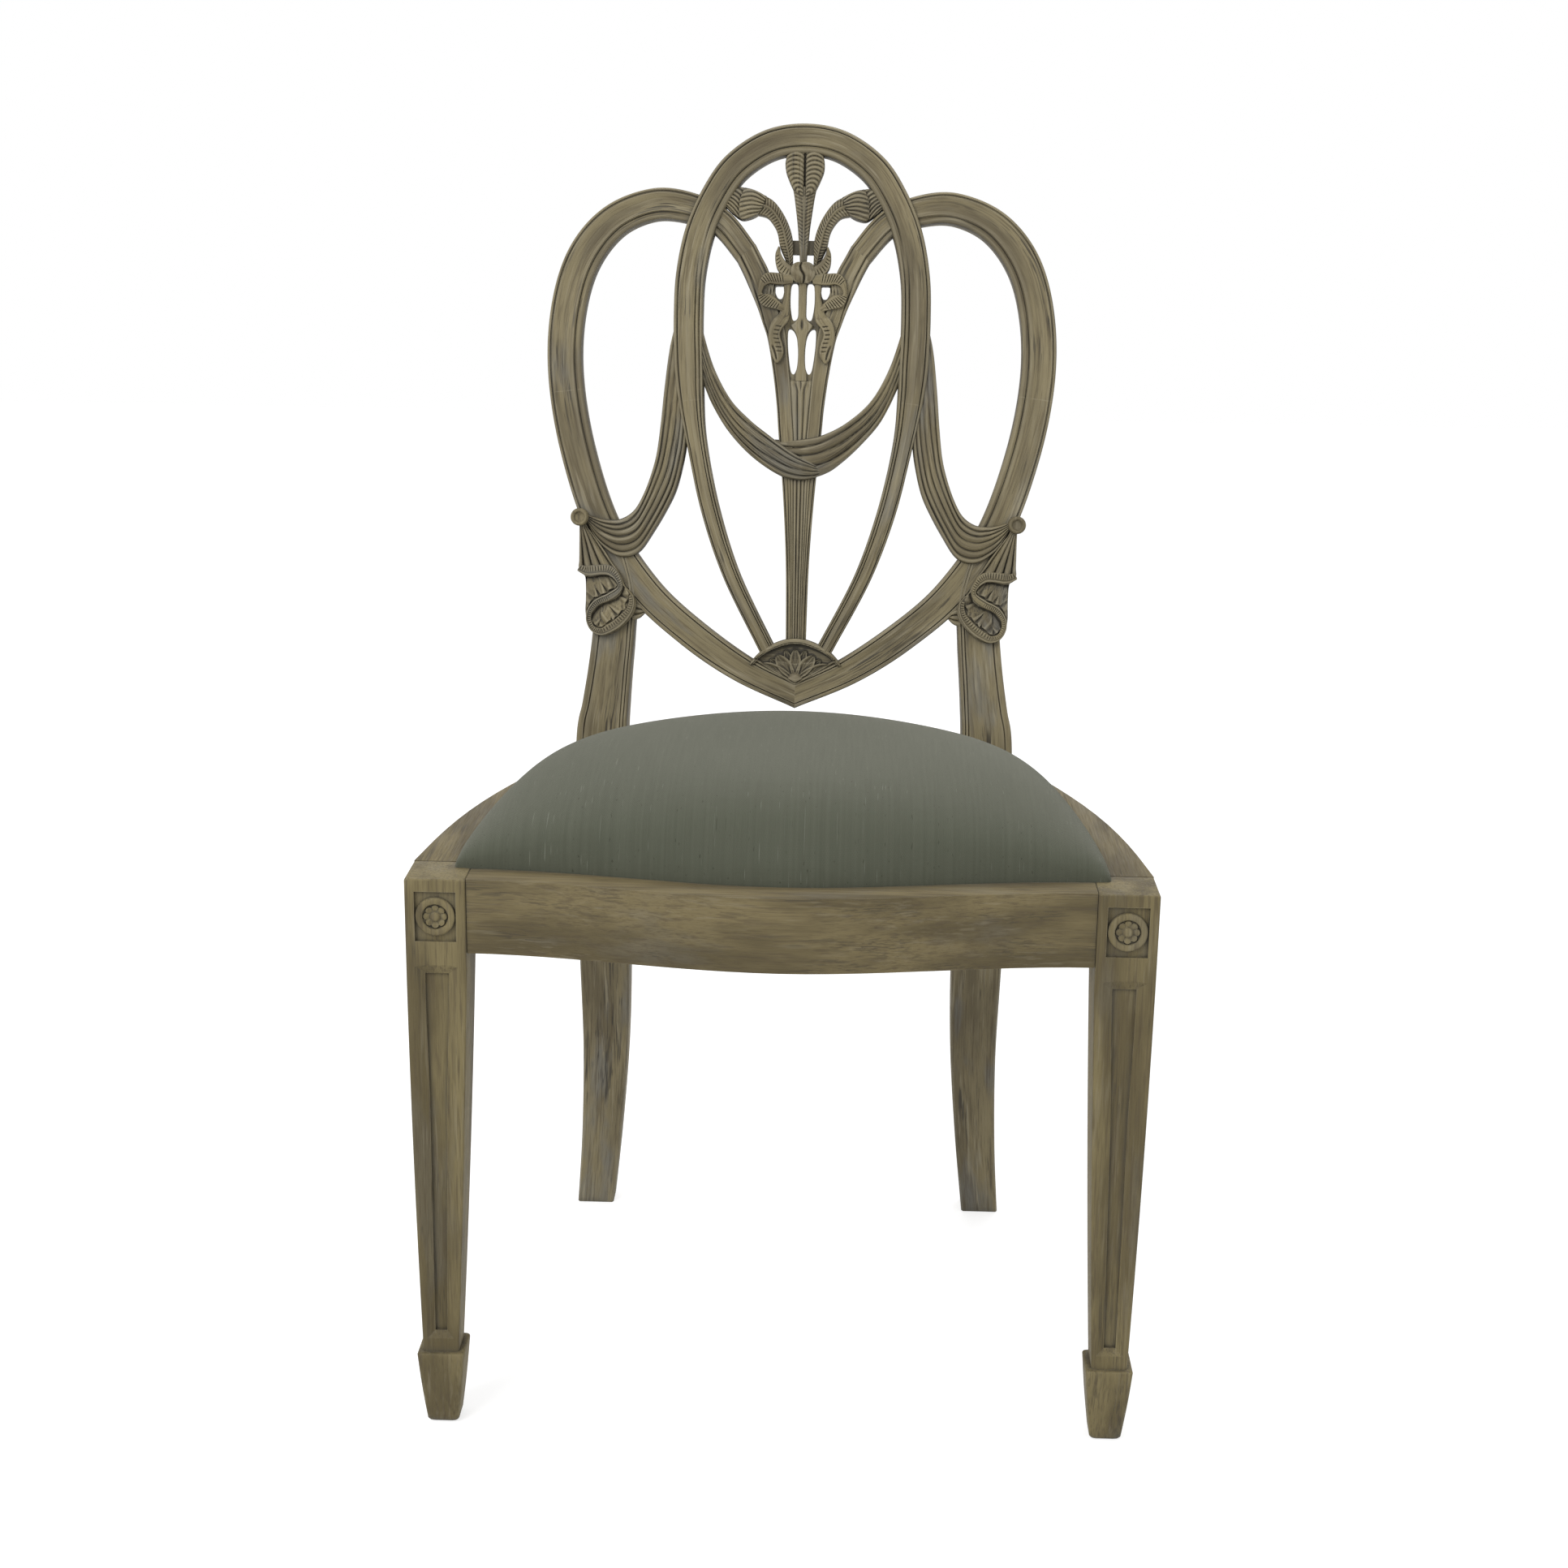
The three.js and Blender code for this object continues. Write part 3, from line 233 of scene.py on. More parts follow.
def bar(name, rings, grain, hollow=None, smooth=math.radians(40), board=None):
    """A closed bar through rings of points: a grid is rolled up, sewn along its seam and capped.
    grain is each point's place in the board it was cut from, and hollow how sunk it is."""
    stations, around = rings.shape[:2]
    bpy.ops.object.select_all(action="DESELECT")
    bpy.ops.mesh.primitive_grid_add(x_subdivisions=around, y_subdivisions=stations - 1, size=1)
    piece = bpy.context.object
    piece.name = name
    piece.data.name = name

    def rolled(values):
        return np.concatenate([values, values[:, :1]], axis=1).reshape(-1)

    piece.data.vertices.foreach_set("co", rolled(rings))
    shift = BOARD_SHIFT * (next(boards) if board is None else board)
    in_board = piece.data.attributes.new("grain", "FLOAT_VECTOR", "POINT")
    in_board.data.foreach_set("vector", rolled(grain + shift))
    sunk = np.zeros(rings.shape[:2] + (1,)) if hollow is None else hollow[..., None]
    how_sunk = piece.data.attributes.new("hollow", "FLOAT", "POINT")
    how_sunk.data.foreach_set("value", rolled(sunk))
    edit(piece, sew)
    bpy.ops.object.shade_smooth_by_angle(angle=smooth)
    return piece


def joined(name, parts):
    """Several meshes as one piece."""
    bpy.ops.object.select_all(action="DESELECT")
    for part in parts:
        part.select_set(True)
    bpy.context.view_layer.objects.active = parts[0]
    if len(parts) > 1:
        bpy.ops.object.join()
    parts[0].name = name
    parts[0].data.name = name
    return parts[0]


def spline(points, t):
    """Points at shares t along a smooth curve through the given ones."""
    p = np.array(points, float)
    last = len(p) - 1
    x = np.clip(np.asarray(t, float), 0, 1) * last
    i = np.minimum(x.astype(int), last - 1)
    w = (x - i)[:, None]
    before, here, there, after = p[np.maximum(i - 1, 0)], p[i], p[i + 1], p[np.minimum(i + 2, last)]
    out = (there - before) / 2
    into = (after - here) / 2
    cubed = 2 * here - 2 * there + out + into
    squared = 3 * there - 3 * here - 2 * out - into
    return (cubed * w + squared) * w * w + out * w + here


def apply_all(piece):
    """Applies all of a piece's modifiers in their order."""
    take(piece)
    for modifier in list(piece.modifiers):
        bpy.ops.object.modifier_apply(modifier=modifier.name)


def cut(piece, cutter, operation="DIFFERENCE"):
    """Cuts a piece with a solid, or joins the solid to it, and deletes the solid."""
    change = piece.modifiers.new("cut", "BOOLEAN")
    change.object = cutter
    change.operation = operation
    change.solver = "EXACT"
    apply_all(piece)
    bpy.data.objects.remove(cutter)


def points_of(piece):
    """Where the vertices of a piece are, a row for each."""
    places = np.zeros(len(piece.data.vertices) * 3)
    piece.data.vertices.foreach_get("co", places)
    return places.reshape(-1, 3)


def smoothed(piece, degrees):
    """Shades a piece smooth where its faces meet at less than an angle."""
    take(piece)
    bpy.ops.object.shade_smooth_by_angle(angle=math.radians(degrees))


def eased_edges(piece, width, degrees):
    """Rounds a piece over where its faces meet at more than an angle."""
    rounding = piece.modifiers.new("eased", "BEVEL")
    rounding.width = width
    rounding.segments = 2
    rounding.limit_method = "ANGLE"
    rounding.angle_limit = math.radians(degrees)
    apply_all(piece)


def grained(piece, along):
    """Gives each point of a straight piece its place in a board whose grain runs along an axis."""
    order = {"x": [1, 2, 0], "y": [0, 2, 1], "z": [0, 1, 2]}[along]
    grain = points_of(piece)[:, order] + BOARD_SHIFT * next(boards)
    for name, kind in (("grain", "FLOAT_VECTOR"), ("hollow", "FLOAT")):
        if name in piece.data.attributes:
            piece.data.attributes.remove(piece.data.attributes[name])
        piece.data.attributes.new(name, kind, "POINT")
    piece.data.attributes["grain"].data.foreach_set("vector", grain.reshape(-1))


def noise_at(vector, scale, detail, roughness):
    """Noise at the places that a socket gives, stretched by a scale for each axis."""
    placed = node(vector.id_data, "ShaderNodeMapping")
    placed.inputs["Scale"].default_value = scale
    plug(vector, placed.inputs["Vector"])
    made = node(vector.id_data, "ShaderNodeTexNoise", Scale=1.0, Detail=detail, Roughness=roughness)
    plug(placed.outputs["Vector"], made.inputs["Vector"])
    return made.outputs["Fac"]


def mixed(fac, a, b):
    """Two colours mixed by a socket's value."""
    made = node(fac.id_data, "ShaderNodeMix", data_type="RGBA")
    plug(fac, made.inputs["Factor"])
    plug(a, made.inputs[6])
    plug(b, made.inputs[7])
    return made.outputs[2]


def roughened(shader, height, strength, distance):
    """Lets a finish stand out from its surface by a socket's height."""
    bump = node(shader.id_data, "ShaderNodeBump", Strength=strength, Distance=distance)
    plug(height, bump.inputs["Height"])
    plug(bump.outputs["Normal"], shader.inputs["Normal"])


def limed_wood(name, light, dark, wear_and_highlight=1.0, ink=1.0, haze_share=0.45):
    """Weathered wood with a pale lime wash: brown and grey along the grain and dark in the pores,
    with painted shade in the hollows and the joints, and pale on the arrises and ridges, where wear
    and a painted highlight are put together."""
    finish, shader = new_finish(name)
    tree = shader.id_data
    board = node(tree, "ShaderNodeAttribute", attribute_name="grain")

    def noise(scale, stretch, detail, roughness=0.55):
        return noise_at(board.outputs["Vector"], (scale, scale, scale / stretch), detail, roughness)

    def multiply(a, b):
        return combined("MULTIPLY", a, b)

    haze = (0.190, 0.190, 0.176)
    # A grey-brown for painted shade in recesses.
    painted_shade_colour = (0.122, 0.116, 0.096)
    pale = (0.380, 0.335, 0.230)
    brown = (0.085, 0.064, 0.036)
    # Near black: dark pigment in the scratches, and painted shade in corners and cuts.
    pigment_and_shade = (0.034, 0.030, 0.023)

    colour = mixed(ramp(noise(34, 5, 4), 0.36, 0.62), dark, light)
    colour = mixed(multiply(ramp(noise(30, 4, 4), 0.53, 0.66), haze_share), colour, haze)
    streak = noise(420, 26, 4, 0.62)
    colour = mixed(multiply(ramp(streak, 0.50, 0.64), 0.50), colour, brown)
    fine = noise(1300, 30, 2, 0.6)
    colour = mixed(multiply(ramp(fine, 0.50, 0.72), 0.34), colour, brown)
    lime = multiply(ramp(noise(360, 22, 3), 0.52, 0.66), ramp(noise(42, 4, 2), 0.42, 0.58))
    colour = mixed(multiply(lime, 0.55 * wear_and_highlight), colour, pale)
    clusters = ramp(noise(60, 6, 3), 0.50, 0.64)
    scratch = multiply(clusters, ramp(noise(760, 26, 2, 0.5), 0.52, 0.58))
    colour = mixed(multiply(scratch, 0.80 * ink), colour, pigment_and_shade)

    # Paler arrises: wear, together with a painted highlight along every rounded edge.
    arris = node(tree, "ShaderNodeBevel", samples=4)
    arris.inputs["Radius"].default_value = 0.0011
    face = node(tree, "ShaderNodeNewGeometry")
    turn = node(tree, "ShaderNodeVectorMath", operation="DOT_PRODUCT")
    plug(arris.outputs["Normal"], turn.inputs[0])
    plug(face.outputs["Normal"], turn.inputs[1])
    arris_share = ramp(turn.outputs["Value"], 0.97, 0.86)
    wear_and_highlight_on_arrises = multiply(arris_share, ramp(noise(140, 3, 3), 0.38, 0.60))
    colour = mixed(multiply(wear_and_highlight_on_arrises, 0.25 + 0.35 * wear_and_highlight), colour, pale)

    sunk = node(tree, "ShaderNodeAttribute", attribute_name="hollow")
    # Paler on the ridges of mouldings and carving: wear, together with a painted highlight.
    colour = mixed(multiply(ramp(sunk.outputs["Fac"], -0.10, -0.45), 0.45 * wear_and_highlight), colour, pale)
    # Painted shade: grey-brown where nearby surfaces hem a place in, in recesses and where pieces meet.
    depth = node(tree, "ShaderNodeAmbientOcclusion", samples=6)
    depth.inputs["Distance"].default_value = 0.007
    painted_recess_shade = multiply(ramp(depth.outputs["AO"], 0.92, 0.62), ramp(noise(90, 4, 3), 0.30, 0.60))
    colour = mixed(multiply(painted_recess_shade, 0.45), colour, painted_shade_colour)
    patchy = ramp(noise(190, 9, 3), 0.28, 0.58, 0.35, 1.0)
    # Painted shade: near black in deep corners and where pieces meet, broken into patches.
    painted_corner_shade = multiply(ramp(depth.outputs["AO"], 0.60, 0.20), patchy)
    colour = mixed(multiply(painted_corner_shade, 0.85), colour, pigment_and_shade)
    # Painted shade: near black in the cuts and quirks of the carving and mouldings, broken into patches.
    painted_shade_in_cuts = multiply(ramp(sunk.outputs["Fac"], 0.10, 0.60), patchy)
    colour = mixed(multiply(painted_shade_in_cuts, 0.82), colour, pigment_and_shade)
    plug(colour, shader.inputs["Base Color"])

    plug(ramp(fine, 0.3, 0.8, 0.56, 0.74), shader.inputs["Roughness"])
    shader.inputs["Specular IOR Level"].default_value = 0.35
    roughened(shader, ramp(streak, 0.35, 0.75, 1.0, 0.0), 0.35, 0.0006)
    return finish


leg_finish = limed_wood("limed_wood_legs", light=(0.224, 0.182, 0.086), dark=(0.124, 0.098, 0.045),
                        wear_and_highlight=0.35, ink=0.5, haze_share=0.16)


def finished(piece, finish, body="chair_frame", replaced=()):
    """Gives a piece its material, hangs it from the body it rides on and hides the CAD parts it stands for.
    """
    piece.data.materials.clear()
    piece.data.materials.append(finish)
    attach(piece, body)
    if replaced:
        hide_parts(*replaced)
    return piece


def squared_ring(width, depth, radius, steps=4, sides=3):
    """A rectangle with rounded corners, counterclockwise in plan from its front left corner."""
    points = []
    corners = [(-1, -1, math.pi), (1, -1, 1.5 * math.pi), (1, 1, 0), (-1, 1, 0.5 * math.pi)]
    for (sx, sy, start), (nx, ny, _) in zip(corners, corners[1:] + corners[:1]):
        cx, cy = sx * (width / 2 - radius), sy * (depth / 2 - radius)
        for k in range(steps + 1):
            a = start + math.pi / 2 * k / steps
            points.append((cx + radius * math.cos(a), cy + radius * math.sin(a)))
        ex, ey = nx * (width / 2 - radius), ny * (depth / 2 - radius)
        a = start + math.pi / 2
        from_x, from_y = points[-1]
        to_x, to_y = ex + radius * math.cos(a), ey + radius * math.sin(a)
        for k in range(1, sides):
            points.append((from_x + (to_x - from_x) * k / sides, from_y + (to_y - from_y) * k / sides))
    return np.array(points)


def eased(pairs, places):
    """A value that runs smoothly through (place, value) pairs."""
    wheres, values = zip(*pairs)
    slots = np.clip(np.searchsorted(wheres, places, side="left"), 1, len(pairs) - 1)
    p0, p1 = np.array(wheres)[slots - 1], np.array(wheres)[slots]
    v0, v1 = np.array(values)[slots - 1], np.array(values)[slots]
    w = np.clip((places - p0) / (p1 - p0), 0, 1)
    return v0 + (v1 - v0) * w * w * (3 - 2 * w)


def taper(z):
    """The leg's middle and width at a height."""
    down = min(1, max(0, (shoulder - z) / taper_span))
    swell = LEG_SWELL * 4 * down * (1 - down)
    width = LEG_WIDTH + (LEG_TOE - LEG_WIDTH) * down + swell
    return leg_x + TOE_SPREAD * down, leg_y - TOE_SPREAD * down, width


def upright_bar(name, levels, rounding, hand=1, **how):
    """A square bar from (x, y, z, width, depth) levels."""
    rings = []
    for x, y, z, width, depth in levels:
        ring = squared_ring(width, depth, min(rounding, width / 2.01))
        rings.append([(hand * (x + dx), y + dy, z) for dx, dy in ring])
    rings = np.array(rings)
    return bar(name, rings, rings.copy(), **how)


def leg_blank(hand):
    """The tapered leg up to its rounded top edges, before its panels are cut."""
    levels = []
    for z in np.concatenate([np.linspace(FOOT_HEIGHT, shoulder, 24), np.linspace(shoulder, rail_top, 8)[1:]]):
        x, y, width = taper(z)
        levels.append((x, y, z, width, width))
    x, y, z, width, depth = levels.pop()
    levels.append((x, y, z - ARRIS, width, depth))
    for turn in (30, 60, 90):
        a = math.radians(turn)
        inset = 2 * ARRIS * (1 - math.cos(a))
        levels.append((x, y, z - ARRIS + ARRIS * math.sin(a), width - inset, depth - inset))
    return upright_bar("leg", levels, ARRIS, hand)


def wedge(name, low, high, inset=0.0):
    """A block between two corners, its back face drawn in by inset on all sides."""
    bpy.ops.object.select_all(action="DESELECT")
    bpy.ops.mesh.primitive_cube_add(size=1, location=(Vector(low) + Vector(high)) / 2)
    block = bpy.context.object
    block.name = name
    block.dimensions = Vector(high) - Vector(low)
    bpy.ops.object.transform_apply(location=True, rotation=False, scale=True)
    if inset:
        middle = (Vector(low) + Vector(high)) / 2
        for v in block.data.vertices:
            if v.co.y > middle.y:
                v.co.x += inset if v.co.x < middle.x else -inset
                v.co.z += inset if v.co.z < middle.z else -inset
    return block


def flute_cutter(hand):
    """A sunk panel the length of the leg, with wide bevels at its sides and its mitred ends."""
    top, bottom = rail_top - FLUTE_DROP, FOOT_HEIGHT + FLUTE_END
    steps = 24
    rings = []
    levels = [(0, 0, -0.004), (0, 0, 0.0), (1, FLUTE_BEVEL, FLUTE_DEPTH - FLUTE_QUIRK),
              (1, FLUTE_BEVEL, FLUTE_DEPTH)]
    for bevelled, end, deep in levels:
        ring = []
        stretch = np.linspace(top - end, bottom + end, steps + 1)
        for edge_sign, places in ((-1, stretch), (1, stretch[::-1])):
            for z in places:
                x, y, width = taper(z)
                narrow = eased([(rail_top - FLUTE_NARROW_FROM, FLUTE_FLOOR),
                                (rail_top - FLUTE_NARROW_TO, FLUTE_FLOOR_TOP)], z)
                half = width * (narrow / 2 if bevelled else 0.5 - FLUTE_MARGIN)
                ring.append((hand * (x + edge_sign * half), y - width / 2 + deep, z))
        half = LEG_WIDTH * (FLUTE_FLOOR_TOP / 2 if bevelled else 0.5 - FLUTE_MARGIN)
        for across in np.linspace(1, -1, 12)[1:-1]:
            arch = 0.0 if bevelled else FLUTE_ARCH * (1 - abs(across) ** 4)
            ring.append((hand * (leg_x + half * across), leg_y - LEG_WIDTH / 2 + deep, top - end + arch))
        rings.append(ring)
    rings = np.array(rings, float)
    return bar("flute_cutter", rings, rings.copy())


def front_leg(name, hand):
    """A leg with both its panels cut."""
    leg = leg_blank(hand)
    half = PANEL_WIDTH / 2
    face = leg_y - LEG_WIDTH / 2
    panel_top = rail_top - PANEL_DROP
    low = (hand * leg_x - half, face - 0.01, panel_top - PANEL_HEIGHT)
    high = (hand * leg_x + half, face + PANEL_DEPTH, panel_top)
    cut(leg, wedge("panel_cutter", low, high))
    cut(leg, flute_cutter(hand))
    grained(leg, "z")
    smoothed(leg, 25)
    return joined(name, [leg])


for side, hand in hands.items():
    finished(front_leg(f"front_leg_{side}_turned", hand), leg_finish, replaced=[f"front_leg_{side}"])

# The spade feet: wider tapered blocks of the same wood under the legs, with eased edges. A square
# tenon on each leg goes down into its foot.

FOOT_TOP = 0.0355
FOOT_SOLE = 0.024
FOOT_EASE = 0.0030


def spade_foot(name, hand):
    """A foot that widens from its sole to its top, with both ends rounded over."""
    x, y, _ = taper(FOOT_HEIGHT)
    levels = [(x, y, 0.0, FOOT_SOLE - 0.006, FOOT_SOLE - 0.006)]
    levels.append((x, y, 0.0012, FOOT_SOLE - 0.0025, FOOT_SOLE - 0.0025))
    levels.append((x, y, FOOT_EASE, FOOT_SOLE, FOOT_SOLE))
    for share in np.linspace(0.1, 1, 9):
        width = FOOT_SOLE + (FOOT_TOP - FOOT_SOLE) * share + 0.0008 * math.sin(math.pi * share)
        levels.append((x, y, FOOT_EASE + (FOOT_HEIGHT - 0.0016 - FOOT_EASE) * share, width, width))
    levels.append((x, y, FOOT_HEIGHT - 0.0007, FOOT_TOP - 0.0006, FOOT_TOP - 0.0006))
    levels.append((x, y, FOOT_HEIGHT - 0.0001, FOOT_TOP - 0.0022, FOOT_TOP - 0.0022))
    levels.append((x, y, FOOT_HEIGHT, FOOT_TOP - 0.004, FOOT_TOP - 0.004))
    return upright_bar(name, levels, 0.0028, hand)


for side, hand in hands.items():
    finished(spade_foot(f"spade_foot_{side}_shaped", hand), leg_finish, replaced=[f"spade_foot_{side}"])

# The rosettes: turned and carved buttons glued into the square panels, a flat ring round a flower
# of eight petals with a round boss.

ROSETTE_RADIUS = 0.0144
ROSETTE_RISE = 0.0034
PETALS = 8


def rosette(name, hand):
    """A carved button, ring by ring from its foot to the top of its boss."""
    centre_x = hand * leg_x
    centre_z = rail_top - PANEL_DROP - PANEL_HEIGHT / 2
    floor_y = leg_y - LEG_WIDTH / 2 + PANEL_DEPTH - 0.0002
    around = 96
    turn = np.arange(around) * 2 * math.pi / around
    petal = np.abs(np.cos(PETALS / 2 * turn)) ** 0.7
    rings, sunk = [], []

    # Each ring's dark value is its hollow value: the wood's shader paints shade where it is above 0, and wear
    # with a painted highlight where it is below 0.
    def ring(radius, rise, dark=0.0, scallop=0.0):
        r = radius * (1 - scallop * (1 - petal))
        rings.append(np.stack([centre_x + r * np.cos(turn), np.full(around, floor_y) - rise,
                               centre_z + r * np.sin(turn)], 1))
        sunk.append(np.full(around, dark))

    flower = 0.0088
    ring(ROSETTE_RADIUS, 0.0)
    ring(ROSETTE_RADIUS, ROSETTE_RISE * 0.62)
    ring(ROSETTE_RADIUS - 0.0006, ROSETTE_RISE * 0.86)
    ring(ROSETTE_RADIUS - 0.0014, ROSETTE_RISE * 0.92, -0.2)
    ring(ROSETTE_RADIUS - 0.0042, ROSETTE_RISE * 0.96, -0.2)
    ring(ROSETTE_RADIUS - 0.0050, ROSETTE_RISE * 0.80)
    ring(ROSETTE_RADIUS - 0.0054, ROSETTE_RISE * 0.28, 0.5)
    ring(flower + 0.0006, ROSETTE_RISE * 0.24, 0.5, 0.24)
    ring(flower, ROSETTE_RISE * 0.55, 0.1, 0.24)
    ring(flower * 0.93, ROSETTE_RISE * (0.52 + 0.32 * petal), 0.25 * (1 - petal), 0.20)
    ring(flower * 0.74, ROSETTE_RISE * (0.36 + 0.34 * petal), 0.40 * (1 - petal), 0.10)
    ring(flower * 0.52, ROSETTE_RISE * (0.30 + 0.22 * petal), 0.30, 0.0)
    ring(flower * 0.42, ROSETTE_RISE * 0.50, 0.4)
    ring(flower * 0.36, ROSETTE_RISE * 0.86)
    ring(flower * 0.24, ROSETTE_RISE * 0.97, -0.2)
    ring(flower * 0.06, ROSETTE_RISE, -0.2)
    rings = np.array(rings)
    return bar(name, rings, rings.copy(), hollow=np.array(sunk), smooth=math.radians(50))


for side, hand in hands.items():
    finished(rosette(f"rosette_{side}_carved", hand), leg_finish, replaced=[f"rosette_{side}"])

# The seat rails: a serpentine front rail, two bowed side rails and a straight rear rail, each with
# a rebate cut into its top for the loose seat. Their tenons are glued into the legs.

rail_finish = limed_wood("limed_wood_rails", light=(0.196, 0.156, 0.074), dark=(0.106, 0.083, 0.038),
                         wear_and_highlight=0.30, ink=0.5, haze_share=0.18)
SOFT_EDGE = 0.0012


def softened(node_name, name, grain_axis):
    """A merged copy of a CAD node with its sharp edges eased, and its grain along one axis."""
    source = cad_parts[node_name]
    piece = bpy.data.objects.new(name, source.data.copy())
    bpy.context.scene.collection.objects.link(piece)

    def clean():
        bpy.ops.mesh.remove_doubles(threshold=1e-5)
        bpy.ops.mesh.dissolve_limited(angle_limit=math.radians(1))

    edit(piece, clean)
    eased_edges(piece, SOFT_EDGE, 35)
    grained(piece, grain_axis)
    smoothed(piece, 30)
    return piece


finished(softened("front_rail", "front_rail_eased", "x"), rail_finish, replaced=["front_rail"])
finished(softened("rear_rail", "rear_rail_eased", "x"), rail_finish, replaced=["rear_rail"])
for side in hands:
    finished(softened(f"side_rail_{side}", f"side_rail_{side}_eased", "y"), rail_finish,
             replaced=[f"side_rail_{side}"])

# The back is drawn flat and leaned over the rails. Its bands are sawn from boards and moulded with
# scratch stocks: beads and quirks near both edges, and a slightly hollow face.

SHIELD_HALF = 0.2135
BACK_LENGTH = 0.5295
BACK_THICK = 0.021
LEAN = math.atan(0.18)
REAR_FACE = 0.355
FULL_HALF = 0.0115
back_foot = np.array([0, leg_low.y + REAR_FACE, rail_top])
back_finish = limed_wood("limed_wood_back", light=(0.268, 0.224, 0.126), dark=(0.142, 0.117, 0.067),
                         wear_and_highlight=1.0, ink=1.0, haze_share=0.6)

SHIELD_CURVE = [
    (0, 0.102), (0.21, 0.141), (0.42, 0.198), (0.61, 0.267), (0.773, 0.363), (0.878, 0.484),
    (0.93, 0.6), (0.925, 0.7), (0.867, 0.785), (0.75, 0.845), (0.59, 0.873), (0.44, 0.868),
    (0.323, 0.846), (0.225, 0.8),
]
HOOP_HALF_CURVE = [
    (0, 0.977), (0.14, 0.967), (0.267, 0.933), (0.347, 0.887), (0.407, 0.831), (0.44, 0.765),
    (0.447, 0.7), (0.443, 0.633), (0.431, 0.567), (0.405, 0.497), (0.348, 0.394), (0.26, 0.291),
    (0.13, 0.187),
]


def drawn(shares):
    """Points of the flat back, in metres, from shares of its half width and of its length."""
    return np.array([(across * SHIELD_HALF, up * BACK_LENGTH) for across, up in shares])


def on_back(flat):
    """Places (across, depth, up) of the flat back, leaned to where the back stands."""
    across, depth, up = flat[..., 0], flat[..., 1], flat[..., 2]
    y = back_foot[1] + depth * math.cos(LEAN) + up * math.sin(LEAN)
    z = back_foot[2] - depth * math.sin(LEAN) + up * math.cos(LEAN)
    return np.stack([across, y, z], -1)


def run(points, start, end, steps):
    """Centres, side directions and lengths run, along a smooth curve."""
    t = np.linspace(start, end, steps + 1)
    centre = spline(points, t)
    ahead = spline(points, t + 1e-3) - spline(points, t - 1e-3)
    ahead /= np.linalg.norm(ahead, axis=1)[:, None]
    side = np.stack([-ahead[:, 1], ahead[:, 0]], 1)
    lead = np.linalg.norm(np.diff(spline(points, np.linspace(0, start, 200)), axis=0), axis=1).sum()
    length = lead + np.concatenate([[0], np.cumsum(np.linalg.norm(np.diff(centre, axis=0), axis=1))])
    return t, centre, side, length


def hollows(depth, reach):
    """How far each place of a carved face lies below those round it, in millimetres."""
    smooth = depth.copy()
    for axis, count in enumerate(reach):
        count = max(1, int(round(count)))
        kernel = np.ones(2 * count + 1) / (2 * count + 1)
        pad = [(count, count) if a == axis else (0, 0) for a in range(2)]
        wide = np.pad(smooth, pad, mode="edge")
        smooth = np.apply_along_axis(lambda line: np.convolve(line, kernel, mode="valid"), axis, wide)
    return (depth - smooth) * 1000


def moulded(name, points, start, end, steps, width, face, hand=1, outward=1, thick=BACK_THICK, front=0.0,
            ease=0.0016, other_face=None, change=None, extend=(0, 0), mitre=False, board=None):
    """A moulded band along a curve of the back. face lists (edge, offset, depth) from the inner to
    the outer edge: edge -1, 0 or 1 is the inner edge, the middle or the outer edge. The offsets shrink
    where a band is narrower than twice FULL_HALF."""
    t, centre, side, length = run(points, start, end, steps)
    before, after = extend
    if before:
        centre = np.vstack([centre[0] + np.array([-side[0, 1], side[0, 0]]) * before, centre])
        side, t = np.vstack([side[0], side]), np.append(t[0], t)
        length = np.append(length[0] - before, length)
    if after:
        centre = np.vstack([centre, centre[-1] + np.array([side[-1, 1], -side[-1, 0]]) * after])
        side, t = np.vstack([side, side[-1]]), np.append(t, t[-1])
        length = np.append(length, length[-1] + after)
    half = width(t) / 2
    profile = np.array(face)
    fit = np.clip(half / FULL_HALF, 0, 1)[:, None]
    edges = profile[None, :, 0] * half[:, None] + profile[None, :, 1] * fit
    depths = np.repeat(profile[None, :, 2], len(t), 0)
    if other_face is not None:
        share = change(t)[:, None]
        other = np.array(other_face)
        edges = edges * (1 - share) + (other[None, :, 0] * half[:, None] + other[None, :, 1] * fit) * share
        depths = depths * (1 - share) + other[None, :, 2] * share
    # How sunk each place is: the wood's shader paints shade where it is sunk, and wear with a painted
    # highlight where it stands proud.
    dark = hollows(depths, (1, 1))
    rim = [(1, 0, thick - ease), (1, -ease * 0.3, thick - ease * 0.3), (1, -ease, thick),
           (-1, ease, thick), (-1, ease * 0.3, thick - ease * 0.3), (-1, 0, thick - ease)]
    rim = np.array(rim)
    rim_edges = rim[None, :, 0] * half[:, None] + rim[None, :, 1]
    rim_depths = np.repeat(rim[None, :, 2], len(t), 0)
    q = np.concatenate([edges, rim_edges], 1)
    depth = front + np.concatenate([depths, rim_depths], 1)
    flat = centre[:, None, :] + side[:, None, :] * (q * outward)[..., None]
    if mitre:
        ahead = centre[1] - centre[0]
        slid = np.minimum(flat[..., 0], 0)
        slid[0] = flat[0, :, 0]
        flat = flat - slid[..., None] * ahead / ahead[0]
    places = np.stack([hand * flat[..., 0], depth, flat[..., 1]], -1)
    grain = np.stack([q, depth, np.repeat(length[:, None], q.shape[1], 1)], -1)
    hollow = np.concatenate([dark, np.zeros(rim_edges.shape)], 1)
    return bar(name, on_back(places), grain, hollow=hollow, board=board)


